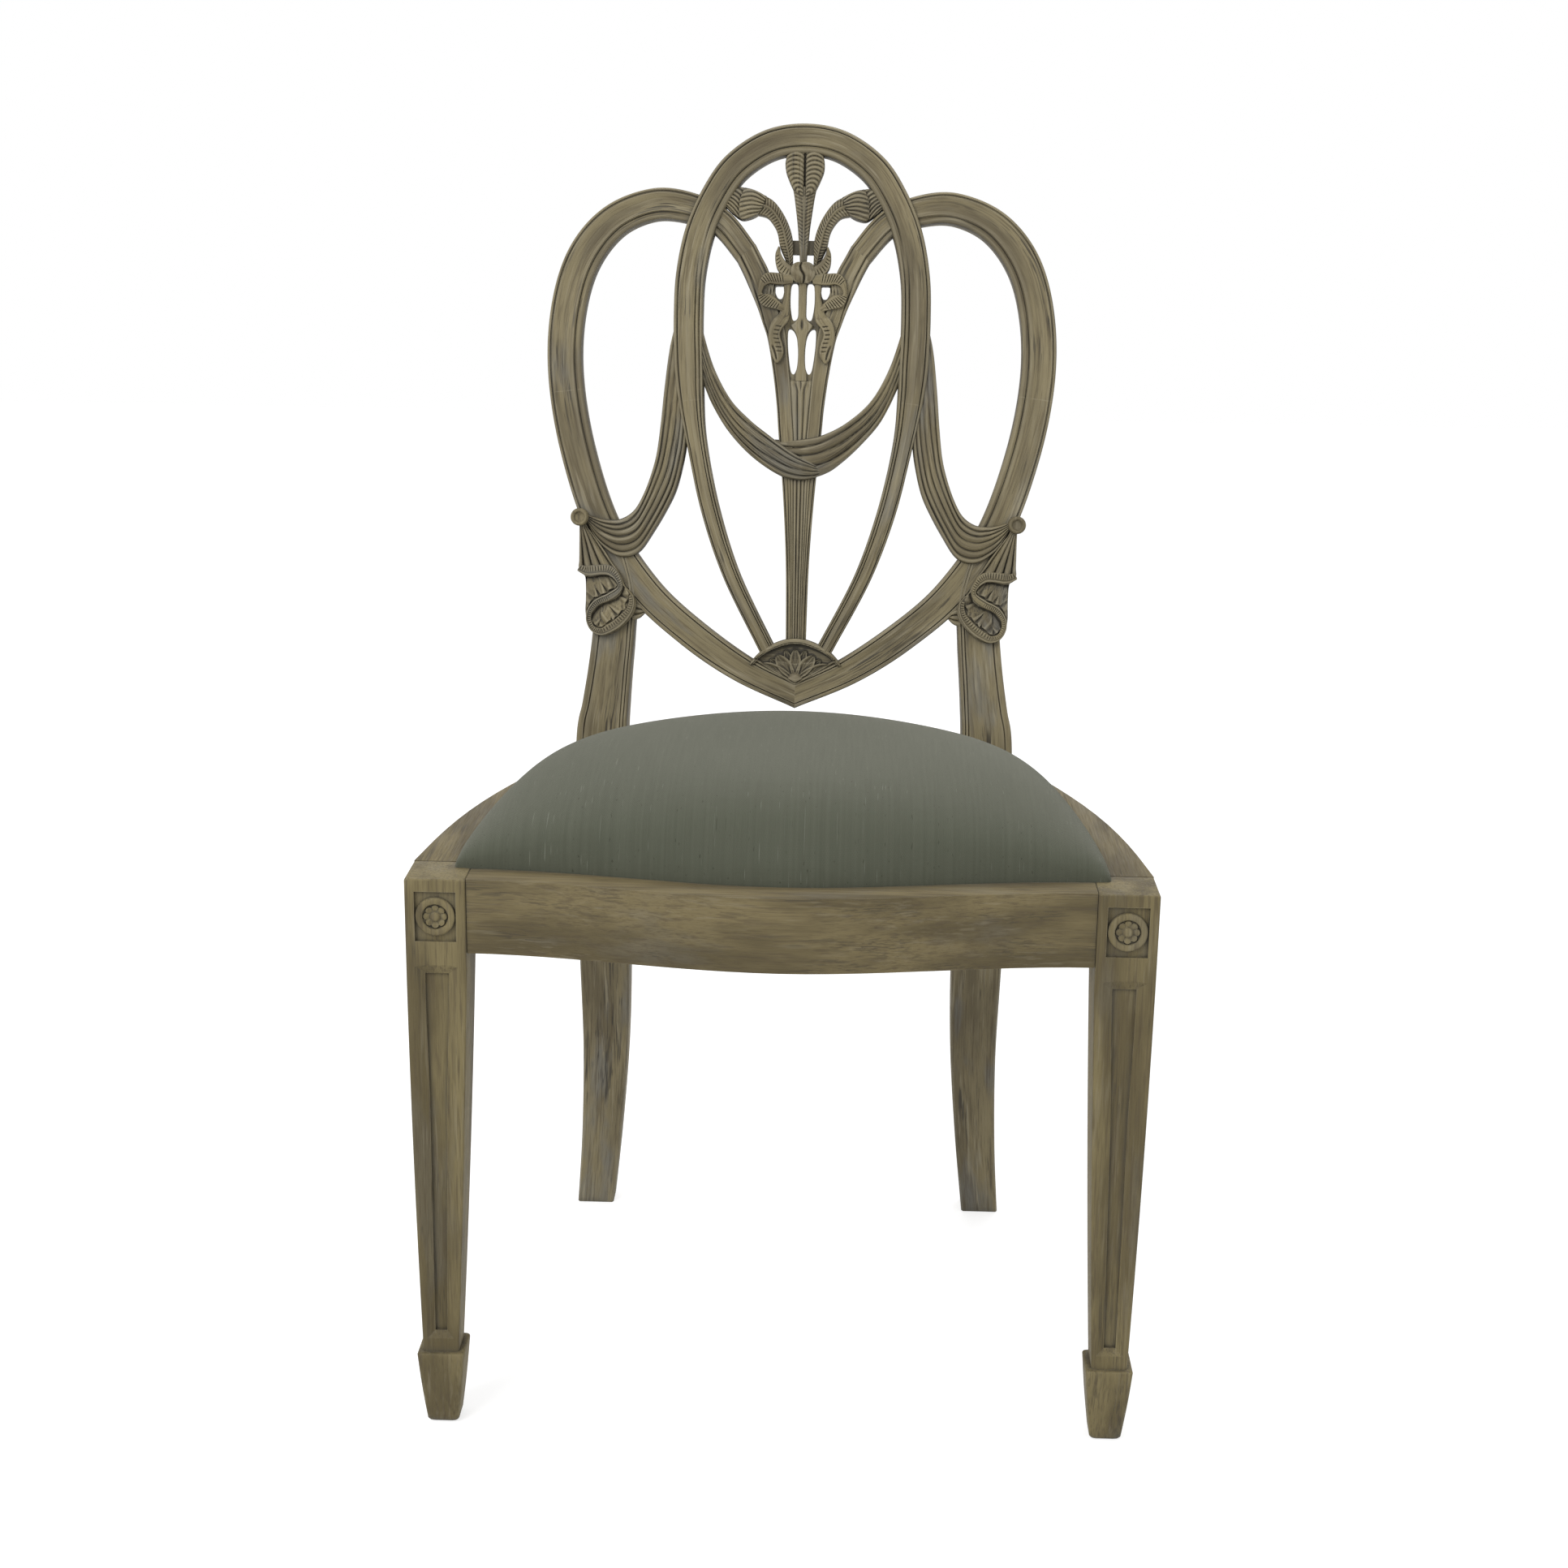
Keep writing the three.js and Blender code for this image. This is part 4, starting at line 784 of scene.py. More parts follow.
def carved(name, lower, upper, relief, back, across=40, hand=1, ease=0.0015, board=None, lead=0.0):
    """A carved bar between two edge curves of the back. relief(s, t, x, v, w) is the depth of its face,
    with s from 0 to 1 along it, t from -1 to 1 across, x and v its place and w its width, all there."""
    along = len(lower) - 1
    t = np.linspace(-1, 1, across + 1)
    s = np.linspace(0, 1, along + 1)
    spacing = 0.5 * (t + 1)
    face = lower[:, None, :] * (1 - spacing)[None, :, None] + upper[:, None, :] * spacing[None, :, None]
    width = np.linalg.norm(upper - lower, axis=1)[:, None]
    middle = (lower + upper) / 2
    length = lead + np.concatenate([[0], np.cumsum(np.linalg.norm(np.diff(middle, axis=0), axis=1))])
    s_grid, t_grid = np.meshgrid(s, t, indexing="ij")
    depth = relief(s_grid, t_grid, face[..., 0], face[..., 1], width) + 0 * t_grid
    near = np.clip(1 - (1 - np.abs(t_grid)) * width / 2 / ease, 0, 1)
    depth = depth + ease * (1 - np.sqrt(1 - near * near * 0.98))
    reach = (0.0016 / ((length[-1] - lead) / along), 0.0016 / (float(width.mean()) / across))
    # How sunk each place is: the wood's shader paints shade where it is sunk, and wear with a painted
    # highlight where it stands proud.
    dark = hollows(depth, reach)
    inset = np.minimum(ease / width, 0.45)
    rim = []
    for share, drop in ((np.ones_like(inset), ease), (1 - inset * 0.3, ease * 0.3), (1 - inset, 0.0),
                        (inset, 0.0), (inset * 0.3, ease * 0.3), (np.zeros_like(inset), ease)):
        place = lower * (1 - share) + upper * share
        rim.append(np.stack([place[:, 0], np.full(len(place), back - drop), place[:, 1]], 1))
    rim = np.stack(rim, 1)
    front = np.stack([face[..., 0], depth, face[..., 1]], -1)
    flat = np.concatenate([front, rim], 1)
    rim_t = np.repeat(np.linspace(1, -1, 6)[None], along + 1, 0)
    offset = np.concatenate([t_grid, rim_t], 1) * width / 2
    grain = np.stack([offset, flat[..., 1], np.repeat(length[:, None], flat.shape[1], 1)], -1)
    hollow = np.concatenate([dark, np.zeros(rim.shape[:2])], 1)
    flat = flat * np.array([hand, 1, 1])
    return bar(name, on_back(flat), grain, hollow=hollow, smooth=math.radians(55), board=board)


def bounded(points, start, end, steps, width):
    """The two edge curves of a band along a smooth curve."""
    t, centre, side, _ = run(points, start, end, steps)
    half = width(t)[:, None] / 2
    return centre - side * half, centre + side * half


BEAD_FACE = [
    (-1, 0, 0.0052), (-1, 0.0003, 0.0030), (-1, 0.0012, 0.0014), (-1, 0.0026, 0.0007),
    (-1, 0.0040, 0.0009), (-1, 0.0049, 0.0014), (-1, 0.0055, 0.0023), (-1, 0.0061, 0.0011),
    (-1, 0.0070, 0.0003), (-1, 0.0090, 0.0004), (0, -0.0010, 0.0012), (0, 0.0030, 0.0013),
    (1, -0.0080, 0.0008), (1, -0.0050, 0.0003), (1, -0.0037, 0.0002), (1, -0.0031, 0.0012),
    (1, -0.0025, 0.0014), (1, -0.0020, 0.0003), (1, -0.0012, 0.0), (1, -0.0004, 0.0006), (1, 0, 0.0020),
]

# The rear legs: each is one piece from the floor to the side of the shield, swept back below the
# seat, with a moulded post above it that runs up behind the carved tail into the stile.

REAR_SPAN = 0.332
REAR_LEG_WIDTH = 0.0435
REAR_LEG_DEPTH = 0.036
REAR_SWEEP = 0.043
REAR_LEG_STATIONS = [
    (0, 1.06, 0.75, 1, 0.8), (0.17, 1.018, 0.81, 0.68, 0.86), (0.365, 0.987, 0.9, 0.37, 0.92),
    (0.55, 0.982, 0.985, 0.14, 0.97), (0.71, 0.988, 1, 0.01, 1), (0.87, 0.996, 1, -0.05, 1),
]
POST_STATIONS = [
    (0.03, 0.99, 0.77, 0.98, 1), (0.083, 0.972, 0.756, 0.9, 0.92), (0.136, 0.953, 0.741, 0.845, 0.8),
    (0.19, 0.936, 0.728, 0.82, 0.68), (0.26, 0.925, 0.719, 0.78, 0.6), (0.32, 0.95, 0.739, 0.62, 0.59),
]
POST_FACE = [
    (-1, 0, 0.0030), (-1, 0.0004, 0.0012), (-1, 0.0014, 0.0003), (-1, 0.0026, 0.0002),
    (-1, 0.0031, 0.0013), (-1, 0.0037, 0.0003), (-1, 0.0052, 0.0002), (-1, 0.0059, 0.0016),
    (-1, 0.0066, 0.0008), (0, -0.004, 0.0009), (0, 0.004, 0.0009), (1, -0.0066, 0.0008),
    (1, -0.0059, 0.0016), (1, -0.0052, 0.0002), (1, -0.0040, 0.0001), (1, -0.0026, 0.0001),
    (1, -0.0014, 0.0003), (1, -0.0004, 0.0012), (1, 0, 0.0030),
]
SHIELD_WIDTHS = [(0, 0.0215), (0.154, 0.026), (0.308, 0.0285), (0.615, 0.0285), (0.77, 0.0255), (1, 0.0205)]


def shield_width(places):
    """The width of the shield's band at shares of its length, from the point of the V."""
    return eased(SHIELD_WIDTHS, places)


def rear_leg_blank(hand):
    """The leg and post, from the floor to behind the tail."""
    face = np.array(POST_FACE)
    rings = []
    half_span = REAR_SPAN / 2
    foot, top = POST_STATIONS[0][0], POST_STATIONS[-3][0]

    def ring(width, depth, moulding):
        q = face[:, 0] * width / 2 + face[:, 1]
        rounded = np.clip(0.003 - 2.2 * (width / 2 - np.abs(q)), 0, 0.003) * 0.8
        d = face[:, 2] * moulding + (1 - moulding) * rounded
        e = 0.0025
        half = width / 2
        rim_q = np.array([half, half - e * 0.3, half - e, -half + e, -half + e * 0.3, -half])
        rim_d = np.array([depth - e, depth - e * 0.3, depth, depth, depth - e * 0.3, depth - e])
        return np.concatenate([q, rim_q]), np.concatenate([d, rim_d])

    for up, centre, wide, sweep, deep in REAR_LEG_STATIONS:
        q, d = ring(REAR_LEG_WIDTH * wide, REAR_LEG_DEPTH * deep, 0.0)
        y = leg_low.y + REAR_FACE + REAR_SWEEP * sweep
        rings.append(np.stack([half_span * centre + q, y + d, np.full(len(q), rail_top * up)], 1))
    for up, centre, shield_centre, wide, deep in POST_STATIONS:
        towards = min(1, max(0, (up - foot) / (top - foot)))
        middle = half_span * centre * (1 - towards) + SHIELD_HALF * shield_centre * towards
        q, d = ring(REAR_LEG_WIDTH * wide, REAR_LEG_DEPTH * deep, 1.0)
        rings.append(on_back(np.stack([middle + q, d, np.full(len(q), BACK_LENGTH * up)], 1)))
    rings = np.array(rings)
    stations = len(rings)
    t = np.linspace(0, 1, 96)
    fine = np.stack([spline(rings[:, j], t) for j in range(rings.shape[1])], 1)
    middles = fine.mean(1, keepdims=True)
    run_up = np.concatenate([[0], np.cumsum(np.linalg.norm(np.diff(middles[:, 0], axis=0), axis=1))])
    places = fine - middles
    grain = np.stack([places[..., 0], places[..., 1], np.repeat(run_up[:, None], fine.shape[1], 1)], -1)
    dark = np.zeros(fine.shape[:2])
    moulded_part = np.clip((t * (stations - 1) - len(REAR_LEG_STATIONS) + 1), 0, 1)
    # How sunk each place of the moulding is: the wood's shader paints shade where it is sunk, and wear with a
    # painted highlight where it stands proud.
    sunk = hollows(np.repeat(face[None, :, 2], len(t), 0), (1, 1)) * moulded_part[:, None]
    dark[:, :len(face)] = sunk
    fine = fine * np.array([hand, 1, 1])
    return bar("post", fine, grain, hollow=dark)


STILE_START = 0.294
STILE_JOINT = 0.4465
stile_boards = {side: next(boards) for side in hands}
for side, hand in hands.items():
    leg = rear_leg_blank(hand)
    stile = moulded("stile", drawn(SHIELD_CURVE), STILE_START, STILE_JOINT, 46, shield_width, BEAD_FACE, hand,
                    outward=-1, board=stile_boards[side])
    finished(joined(f"rear_leg_{side}_moulded", [leg, stile]), back_finish, replaced=[f"rear_leg_{side}"])

# The shield rail, the two lobes and the hoop: bands of the same moulding. The rail is mitred at its
# point, and the hoop is halved over the lobes, so that it passes in front of them.

RAIL_FACE = [
    (-1, 0, 0.0034), (-1, 0.0004, 0.0014), (-1, 0.0013, 0.0004), (-1, 0.0024, 0.0004),
    (-1, 0.0030, 0.0017), (-1, 0.0037, 0.0004), (-1, 0.0050, 0.0003), (-1, 0.0062, 0.0005),
    (0, -0.0025, 0.0008), (0, 0.0025, 0.0008), (1, -0.0064, 0.0005), (1, -0.0052, 0.0003),
    (1, -0.0044, 0.0003), (1, -0.0038, 0.0016), (1, -0.0032, 0.0005), (1, -0.0020, 0.0002),
    (1, -0.0010, 0.0004), (1, -0.0003, 0.0014), (1, 0, 0.0034),
]
HOOP_FACE = [
    (-1, 0, 0.0050), (-1, 0.0005, 0.0028), (-1, 0.0016, 0.0012), (-1, 0.0032, 0.0005),
    (-1, 0.0048, 0.0008), (-1, 0.0056, 0.0014), (-1, 0.0060, 0.0024), (-1, 0.0065, 0.0012),
    (-1, 0.0076, 0.0003), (-1, 0.0086, 0.0003), (-1, 0.0096, 0.0006), (0, 0.0012, 0.0010),
    (0, 0.0032, 0.0009), (1, -0.0066, 0.0005), (1, -0.0048, 0.0002), (1, -0.0038, 0.0002),
    (1, -0.0032, 0.0017), (1, -0.0026, 0.0006), (1, -0.0016, 0.0001), (1, -0.0005, 0.0009),
    (1, 0, 0.0028),
]
FLUTED_FACE = [
    (-1, 0, 0.0040), (-1, 0.0004, 0.0020), (-1, 0.0014, 0.0004), (-1, 0.0026, 0.0008),
    (-1, 0.0031, 0.0022), (-1, 0.0036, 0.0010), (-1, 0.0046, 0.0002), (-1, 0.0056, 0.0004),
    (-1, 0.0062, 0.0012), (-1, 0.0067, 0.0022), (-1, 0.0072, 0.0010), (0, 0.0016, 0.0001),
    (0, 0.0030, 0.0002), (1, -0.0056, 0.0003), (1, -0.0046, 0.0003), (1, -0.0038, 0.0006),
    (1, -0.0032, 0.0020), (1, -0.0026, 0.0008), (1, -0.0016, 0.0001), (1, -0.0005, 0.0009),
    (1, 0, 0.0028),
]
RAIL_END = 0.302
HOOP_JOINT = 0.667
HOOP_THICK = 0.020
HOOP_FRONT = -0.003
HOOP_FOOT = 0.004
HOOP_SOCKET = 0.013
HOOP_WIDTHS = [(0, 0.0245), (0.583, 0.0245), (0.79, 0.016), (1, 0.0135)]
hoop_curve = drawn([(-x, y) for x, y in HOOP_HALF_CURVE[:0:-1]] + HOOP_HALF_CURVE)


def hoop_width(places):
    """The width of the hoop's band at shares of its length, the same on both sides of its top."""
    return eased(HOOP_WIDTHS, np.abs(2 * places - 1))


def low_share(places):
    """0 on the hoop's top and 1 near its feet, where its moulding has turned into flutes."""
    return np.clip((np.abs(2 * places - 1) - 0.30) / 0.15, 0, 1)


def shield_rail_half(hand):
    """One half of the V, mitred at the middle of the chair."""
    return moulded("rail_half", drawn(SHIELD_CURVE), 0.0, RAIL_END, 48, shield_width, RAIL_FACE, hand,
                   outward=-1, mitre=True)


rail_halves = [shield_rail_half(hand) for hand in hands.values()]
finished(joined("shield_rail_moulded", rail_halves), back_finish, replaced=["shield_rail"])
hoop_board = next(boards)
hoop_start, hoop_end = (1 - HOOP_JOINT) / 2, (1 + HOOP_JOINT) / 2
bar_ends = {"left": (HOOP_FOOT, hoop_start, (HOOP_SOCKET, 0)),
            "right": (hoop_end, 1 - HOOP_FOOT, (0, HOOP_SOCKET))}
for side, hand in hands.items():
    lobe = moulded(f"lobe_{side}_moulded", drawn(SHIELD_CURVE), STILE_JOINT, 1.0, 110, shield_width,
                   BEAD_FACE, hand, outward=-1, board=stile_boards[side])
    finished(lobe, back_finish, replaced=[f"lobe_{side}"])
    start, end, extend = bar_ends[side]
    shield_bar = moulded(f"shield_bar_{side}_moulded", hoop_curve, start, end, 70, hoop_width, HOOP_FACE,
                         thick=HOOP_THICK, front=HOOP_FRONT, other_face=FLUTED_FACE, change=low_share,
                         extend=extend, board=hoop_board)
    finished(shield_bar, back_finish, replaced=[f"shield_bar_{side}"])
arch = moulded("hoop_arch_moulded", hoop_curve, hoop_start, hoop_end, 170, hoop_width, HOOP_FACE,
               thick=HOOP_THICK, front=HOOP_FRONT, other_face=FLUTED_FACE, change=low_share, board=hoop_board)
finished(arch, back_finish, replaced=["hoop_arch"])

# The fan: carved over the point of the V, five broad leaves round a low boss, with four narrow ones
# behind them on a sunk floor, a round rim above and a thin bead along the V. It is let into the rail.

FAN_TOP = [
    (-38.5, 79), (-36.8, 82.8), (-28.9, 90.9), (-18.5, 97.1), (-8, 100.8), (0, 101.8), (8, 100.8),
    (18.5, 97.1), (28.9, 90.9), (36.8, 82.8), (38.5, 79),
]
FAN_FOOT = [
    (-38.5, 78.4), (-36, 79.4), (-31.5, 79.6), (-24, 75.4), (-12, 67.8), (-4, 62.8), (0, 61.4),
    (4, 62.8), (12, 67.8), (24, 75.4), (31.5, 79.6), (36, 79.4), (38.5, 78.4),
]
FAN_EYE = np.array([0.0, 0.0668])
FAN_LEAVES = [(24, 0.0310, 0.0050), (52, 0.0256, 0.0060), (90, 0.0256, 0.0050), (128, 0.0256, 0.0060),
              (156, 0.0310, 0.0050)]
FAN_BEHIND = [(38, 0.0272, 0.0036), (71, 0.0262, 0.0036), (109, 0.0262, 0.0036), (142, 0.0272, 0.0036)]
FAN_FLOOR = 0.0032
FAN_RIM = 0.0050
FAN_PROUD = 0.0028
FAN_BEAD = 0.0024


def edge(points, steps):
    """A smooth edge through points in millimetres, in even steps."""
    fine = spline(points, np.linspace(0, 1, 600))
    length = np.concatenate([[0], np.cumsum(np.linalg.norm(np.diff(fine, axis=0), axis=1))])
    places = np.linspace(0, length[-1], steps + 1)
    return np.stack([np.interp(places, length, fine[:, k]) for k in (0, 1)], 1) / 1000


def rounded_step(x, low, high):
    """0 below low, 1 above high, and smooth between them."""
    w = np.clip((x - low) / (high - low), 0, 1)
    return w * w * (3 - 2 * w)


def groove(x, middle, half, deep):
    """A V cut of a carver's tool."""
    return deep * np.clip(1 - np.abs(x - middle) / half, 0, 1)


def fan_relief(s, t, x, v, w):
    """Depth of the fan: a rim along its top, a bead along the V, and leaves round a boss on a sunk floor."""
    top = np.interp(x, *edge(FAN_TOP, 200).T)
    rail = 0.0640 + 0.600 * np.abs(x)
    sunk = rounded_step(top - v, FAN_RIM - 0.0007, FAN_RIM) * rounded_step(v - rail, -0.0004, 0.0006)
    dx, dv = x - FAN_EYE[0], v - FAN_EYE[1]
    reach = np.hypot(dx, dv)
    turn = np.degrees(np.arctan2(dv, dx))
    depth = np.full(x.shape, FAN_FLOOR)
    for leaves, low in ((FAN_BEHIND, 0.0012), (FAN_LEAVES, 0.0)):
        for middle, length, broad in leaves:
            aside = np.radians(turn - middle) * reach
            along = reach / length
            half = broad * np.clip(np.sin(np.clip(along, 0, 1) ** 1.35 * math.pi), 0, 1) ** 0.6 + 0.0004
            inside = np.clip(1 - np.abs(aside) / half, 0, 1) * (along < 1.0)
            lip = low - 0.0012 + 0.0018 * rounded_step(inside, 0.22, 0.75)
            lip = lip - 0.0006 * np.exp(-(aside / 0.0005) ** 2)
            leaf = lip + 0.0016 * (1 - rounded_step(inside, 0, 0.14))
            depth = np.where(inside > 0.02, np.minimum(depth, leaf), depth)
    boss = np.clip(1 - (reach / 0.0066) ** 2, 0, 1)
    depth = np.where(boss > 0, np.minimum(depth, 0.0014 - 0.0044 * np.sqrt(boss)), depth)
    rim_face = -FAN_PROUD + 0.0010 * (1 - rounded_step(top - v, 0.0, 0.0012))
    rim_face = rim_face + groove(top - v, 0.0036, 0.0006, 0.0011)
    bead_face = -0.0004 + 0.0014 * np.abs((rail - v) / FAN_BEAD * 2 - 1) ** 2.5
    below = rounded_step(rail - v, -0.0006, 0.0004) * (1 - rounded_step(np.abs(x), 0.0315, 0.0350))
    rim_face = rim_face * (1 - below) + bead_face * below
    return rim_face * (1 - sunk) + depth * sunk


fan = carved("fan_carved", edge(FAN_FOOT, 200), edge(FAN_TOP, 200), fan_relief, 0.017, across=120,
             ease=0.0010)
finished(fan, back_finish, replaced=["fan"])

# The splat: the stem of the back. Two moulded strips carry on from the lobes down to the fan, with reeds
# between them and, above, a pierced panel under a tied bow. All of it is sawn and carved from one board.

STRIP_OUTER = [
    (55.9, 416.9), (51.2, 408), (46.2, 397.5), (38.4, 380), (32.9, 365), (28.3, 351), (23.4, 324),
    (19.9, 297), (18, 274), (14.3, 236), (11.3, 195), (9.4, 154), (8.5, 98),
]
STRIP_INNER = [
    (40.1, 430.3), (35.2, 421), (29.6, 410.7), (26.6, 402), (24, 392), (20, 377), (13.6, 358.5),
    (11, 337), (8.6, 315), (6.2, 283), (5.2, 268), (4.6, 236), (3.9, 195), (3.2, 154), (2.8, 98),
]
REED_EDGE = [
    (11.4, 321.5), (9.4, 315), (6.7, 283), (5.7, 268), (5.1, 236), (4.4, 195), (3.7, 154), (3.2, 98),
]
STRIP_SHARE = 0.89
lobe_inside = [(STRIP_SHARE * offset, depth) for at, offset, depth in BEAD_FACE[1:] if at == -1]
lobe_outside = [(-STRIP_SHARE * offset, depth) for at, offset, depth in BEAD_FACE[-2::-1] if at == 1]


def strip_relief(s, t, x, v, w):
    """The lobe's beads run on at both edges, and reeds join them on the lower part."""
    from_outer, from_inner = (1 - t) / 2 * w, (1 + t) / 2 * w
    quirk = np.clip(0.0055 - 0.075 * (0.417 - v), 0.0016, 0.0055)
    high = rounded_step(v, 0.372, 0.392)
    depth = 0.0006 + 0.0005 * np.cos(np.clip((from_outer / w - 0.45) * 3.2, -1.6, 1.6))
    depth = depth + groove(from_outer, quirk, 0.0007, 0.0015)
    depth = depth + groove(from_inner, 0.0029, 0.0006, 0.0012) * high
    depth = depth + 0.0008 * np.clip(1 - from_inner / 0.0014, 0, 1) * (1 - high)
    low = 1 - rounded_step(v, 0.225, 0.262)
    lower = rounded_step(v, 0.128, 0.175)
    depth = depth + low * groove(t, 0.02, 0.16, 0.0010) * lower + low * groove(t, -0.45, 0.16, 0.0009)
    lobe = np.where(from_outer < w / 2, np.interp(from_outer, *zip(*lobe_inside)),
                    np.interp(from_inner, *zip(*lobe_outside)))
    joint = rounded_step(v, 0.388, 0.408)
    return depth * (1 - joint) + lobe * joint


def reed_relief(s, t, x, v, w):
    """Three reeds under a small carved leaf."""
    reeds = 0.0013 * (1 - np.abs(np.sin(math.pi * 1.5 * (t + 1))) ** 0.7)
    leaf = rounded_step(v, 0.304, 0.318)
    spread = np.abs(x) / np.clip(0.0052 - 0.28 * (0.3215 - v), 0.0005, 1)
    leaf_face = 0.0002 + 0.0018 * rounded_step(spread, 0.8, 1.25) + 0.0007 * np.exp(-(x / 0.0007) ** 2)
    return (0.0008 + reeds) * (1 - leaf) + leaf_face * leaf + 0.0030 * rounded_step(v, 0.3165, 0.3212)


def mirrored(points):
    """The same points on the other side of the middle of the back."""
    return [(-x, v) for x, v in points]


splat_parts = [
    carved("reeds", edge(mirrored(REED_EDGE), 150), edge(REED_EDGE, 150), reed_relief, 0.0168, across=36),
]
lobe_length = run(drawn(SHIELD_CURVE), 0, 1, 200)[3][-1]
for side, hand in hands.items():
    splat_parts.append(carved("strip", edge(STRIP_INNER, 220), edge(STRIP_OUTER, 220), strip_relief, 0.0172,
                              across=34, hand=hand, board=stile_boards[side], lead=lobe_length))


SAWN_EDGE = 0.0005


def sawn(name, outline, front, back, holes=()):
    """A flat piece sawn to an outline on the back, in millimetres, with holes, and its arrises eased."""

    def blank(points, low, high):
        points = np.array(points) / 1000
        bpy.ops.object.select_all(action="DESELECT")
        bpy.ops.mesh.primitive_circle_add(vertices=len(points), fill_type="NGON")
        piece = bpy.context.object
        flat = np.stack([points[:, 0], np.full(len(points), low), points[:, 1]], 1)
        piece.data.vertices.foreach_set("co", flat.reshape(-1))
        through = {"value": (0, high - low, 0)}
        edit(piece, lambda: bpy.ops.mesh.extrude_region_move(TRANSFORM_OT_translate=through),
             lambda: bpy.ops.mesh.select_all(action="SELECT"),
             lambda: bpy.ops.mesh.normals_make_consistent(inside=False))
        return piece

    piece = blank(outline, front, back)
    piece.name = name
    for hole in holes:
        cut(piece, blank(hole, front - 0.01, back + 0.01))
    eased_edges(piece, SAWN_EDGE, 50)
    flat = points_of(piece)
    grain = flat + BOARD_SHIFT * next(boards)
    piece.data.attributes.new("grain", "FLOAT_VECTOR", "POINT").data.foreach_set("vector", grain.reshape(-1))
    piece.data.vertices.foreach_set("co", on_back(flat).reshape(-1))
    smoothed(piece, 40)
    return piece


def smooth_loop(points, steps=40):
    """A smooth closed outline through points."""
    closed = np.array(list(points[-2:]) + list(points) + list(points[:2]), float)
    t = np.linspace(2, len(points) + 2, steps, endpoint=False) / (len(closed) - 1)
    return spline(closed, t)


PANEL_SIDE = [(11.5, 318), (12.5, 337), (15, 358.5), (21.5, 377), (26.5, 396), (29, 406)]
UPPER_SLOT = [
    (3.4, 383), (3.6, 371), (6.6, 368), (8.6, 371), (10.2, 383), (9.6, 397), (6.5, 399.5), (3.8, 397),
]
LOWER_SLOT = [
    (11.9, 354), (11.2, 361), (7.5, 360.5), (4.2, 354), (2.9, 342.6), (3.4, 330), (6, 323.6), (9, 327),
    (11.2, 342),
]
LOOP_HOLE = [
    (15.6, 391.7), (15.7, 396.4), (19, 397), (22.8, 396.4), (22.9, 391.6), (20.5, 386.4), (17.2, 386.3),
]
panel_holes = []
for hole in (UPPER_SLOT, LOWER_SLOT, LOOP_HOLE):
    panel_holes += [smooth_loop(hole), smooth_loop(mirrored(hole)[::-1])]
panel_outline = PANEL_SIDE + mirrored(PANEL_SIDE)[::-1]
splat_parts.append(sawn("panel", panel_outline, 0.0036, 0.0165, panel_holes))

ROD_EDGE = [
    (3.6, 402), (3.3, 397), (3.3, 376), (3.6, 370), (7.5, 365.5), (9.5, 364), (7.8, 361), (4.6, 356),
    (3.1, 346), (2.8, 338), (3.4, 330), (4.6, 324), (4.8, 318),
]


def rod_relief(s, t, x, v, w):
    """A round rod that divides in two where the slots meet."""
    split = rounded_step(v, 0.357, 0.364) * (1 - rounded_step(v, 0.366, 0.371))
    round_face = 0.0012 - 0.0010 * np.sqrt(np.clip(1 - t * t, 0, 1))
    return round_face + split * groove(x, 0, 0.0022, 0.0016)


splat_parts.append(carved("rod", edge(mirrored(ROD_EDGE), 120), edge(ROD_EDGE, 120), rod_relief, 0.0162,
                          across=22, ease=0.0008))

# The bow over the pierced panel: a knot of two buds, a loop and a hanging ribbon on each side, and a
# cuff round the foot of each side plume. It is carved in the solid, with short cuts of a narrow chisel.

KNOT_SIDE = [
    (0.8, 399.2), (3.4, 398.6), (6.2, 399.4), (8.8, 401.6), (10.6, 405.2), (10.8, 409), (9.6, 412.4),
    (7.2, 414.8), (4, 416), (0.8, 415.2),
]
KNOT_LINE = [
    (398.6, 0.4), (401.5, 1.1), (404.5, 1.2), (406.8, 0.2), (409.5, -1.6), (412.5, -2.2), (415.5, -1.2),
]


def knot_relief(s, t, x, v, w):
    """Two round buds parted by a raised line in an S."""
    line = np.interp(v * 1000, [p[0] for p in KNOT_LINE], [p[1] for p in KNOT_LINE]) / 1000
    aside = x - line
    bud = ((np.abs(aside) - 0.0054) / 0.0062) ** 2 + ((v - 0.4074) / 0.0092) ** 2
    return -0.0054 + 0.0024 * bud + 0.0018 * np.exp(-(aside / 0.0006) ** 2)


def cuts(s, t, count, where, reach, deep=0.0009, wide=0.20):
    """A row of short chisel cuts across a ribbon."""
    place = s * count
    aside = np.abs(place - np.round(place)) / wide
    across = np.clip(1 - ((t - where) / reach) ** 4, 0, 1)
    return deep * np.clip(1 - aside, 0, 1) * across


LOOP_OUTER = [
    (7.5, 405.2), (16.5, 406.4), (22.1, 406.8), (28, 407), (32.2, 405.7), (35.5, 401.6), (37, 395.2),
    (37.3, 388), (35.9, 382.5), (32.6, 379.2), (26.6, 377.6), (20.1, 376.2), (13, 373),
]
LOOP_INNER = [
    (8.5, 398), (16.1, 397.2), (22.3, 397.2), (27, 397.8), (31.1, 396.2), (33.2, 393), (33.8, 390.6),
    (32.8, 388.9), (29.5, 389.2), (25.6, 388.6), (22.2, 386.2), (18.8, 382.8), (12.5, 378.6),
]


def loop_relief(s, t, x, v, w):
    """A flat ribbon, cut across on its upper and on its lower stretch."""
    face = -0.0034 + 0.0006 * t * t + 0.0024 * rounded_step(s, 0.84, 0.98)
    upper = cuts(s, t, 30, 0.1, 0.85, 0.0011) * (s > 0.10) * (s < 0.42)
    lower = cuts(s, t, 30, 0.2, 0.85, 0.0011) * (s > 0.60) * (s < 0.88)
    return face + upper + lower


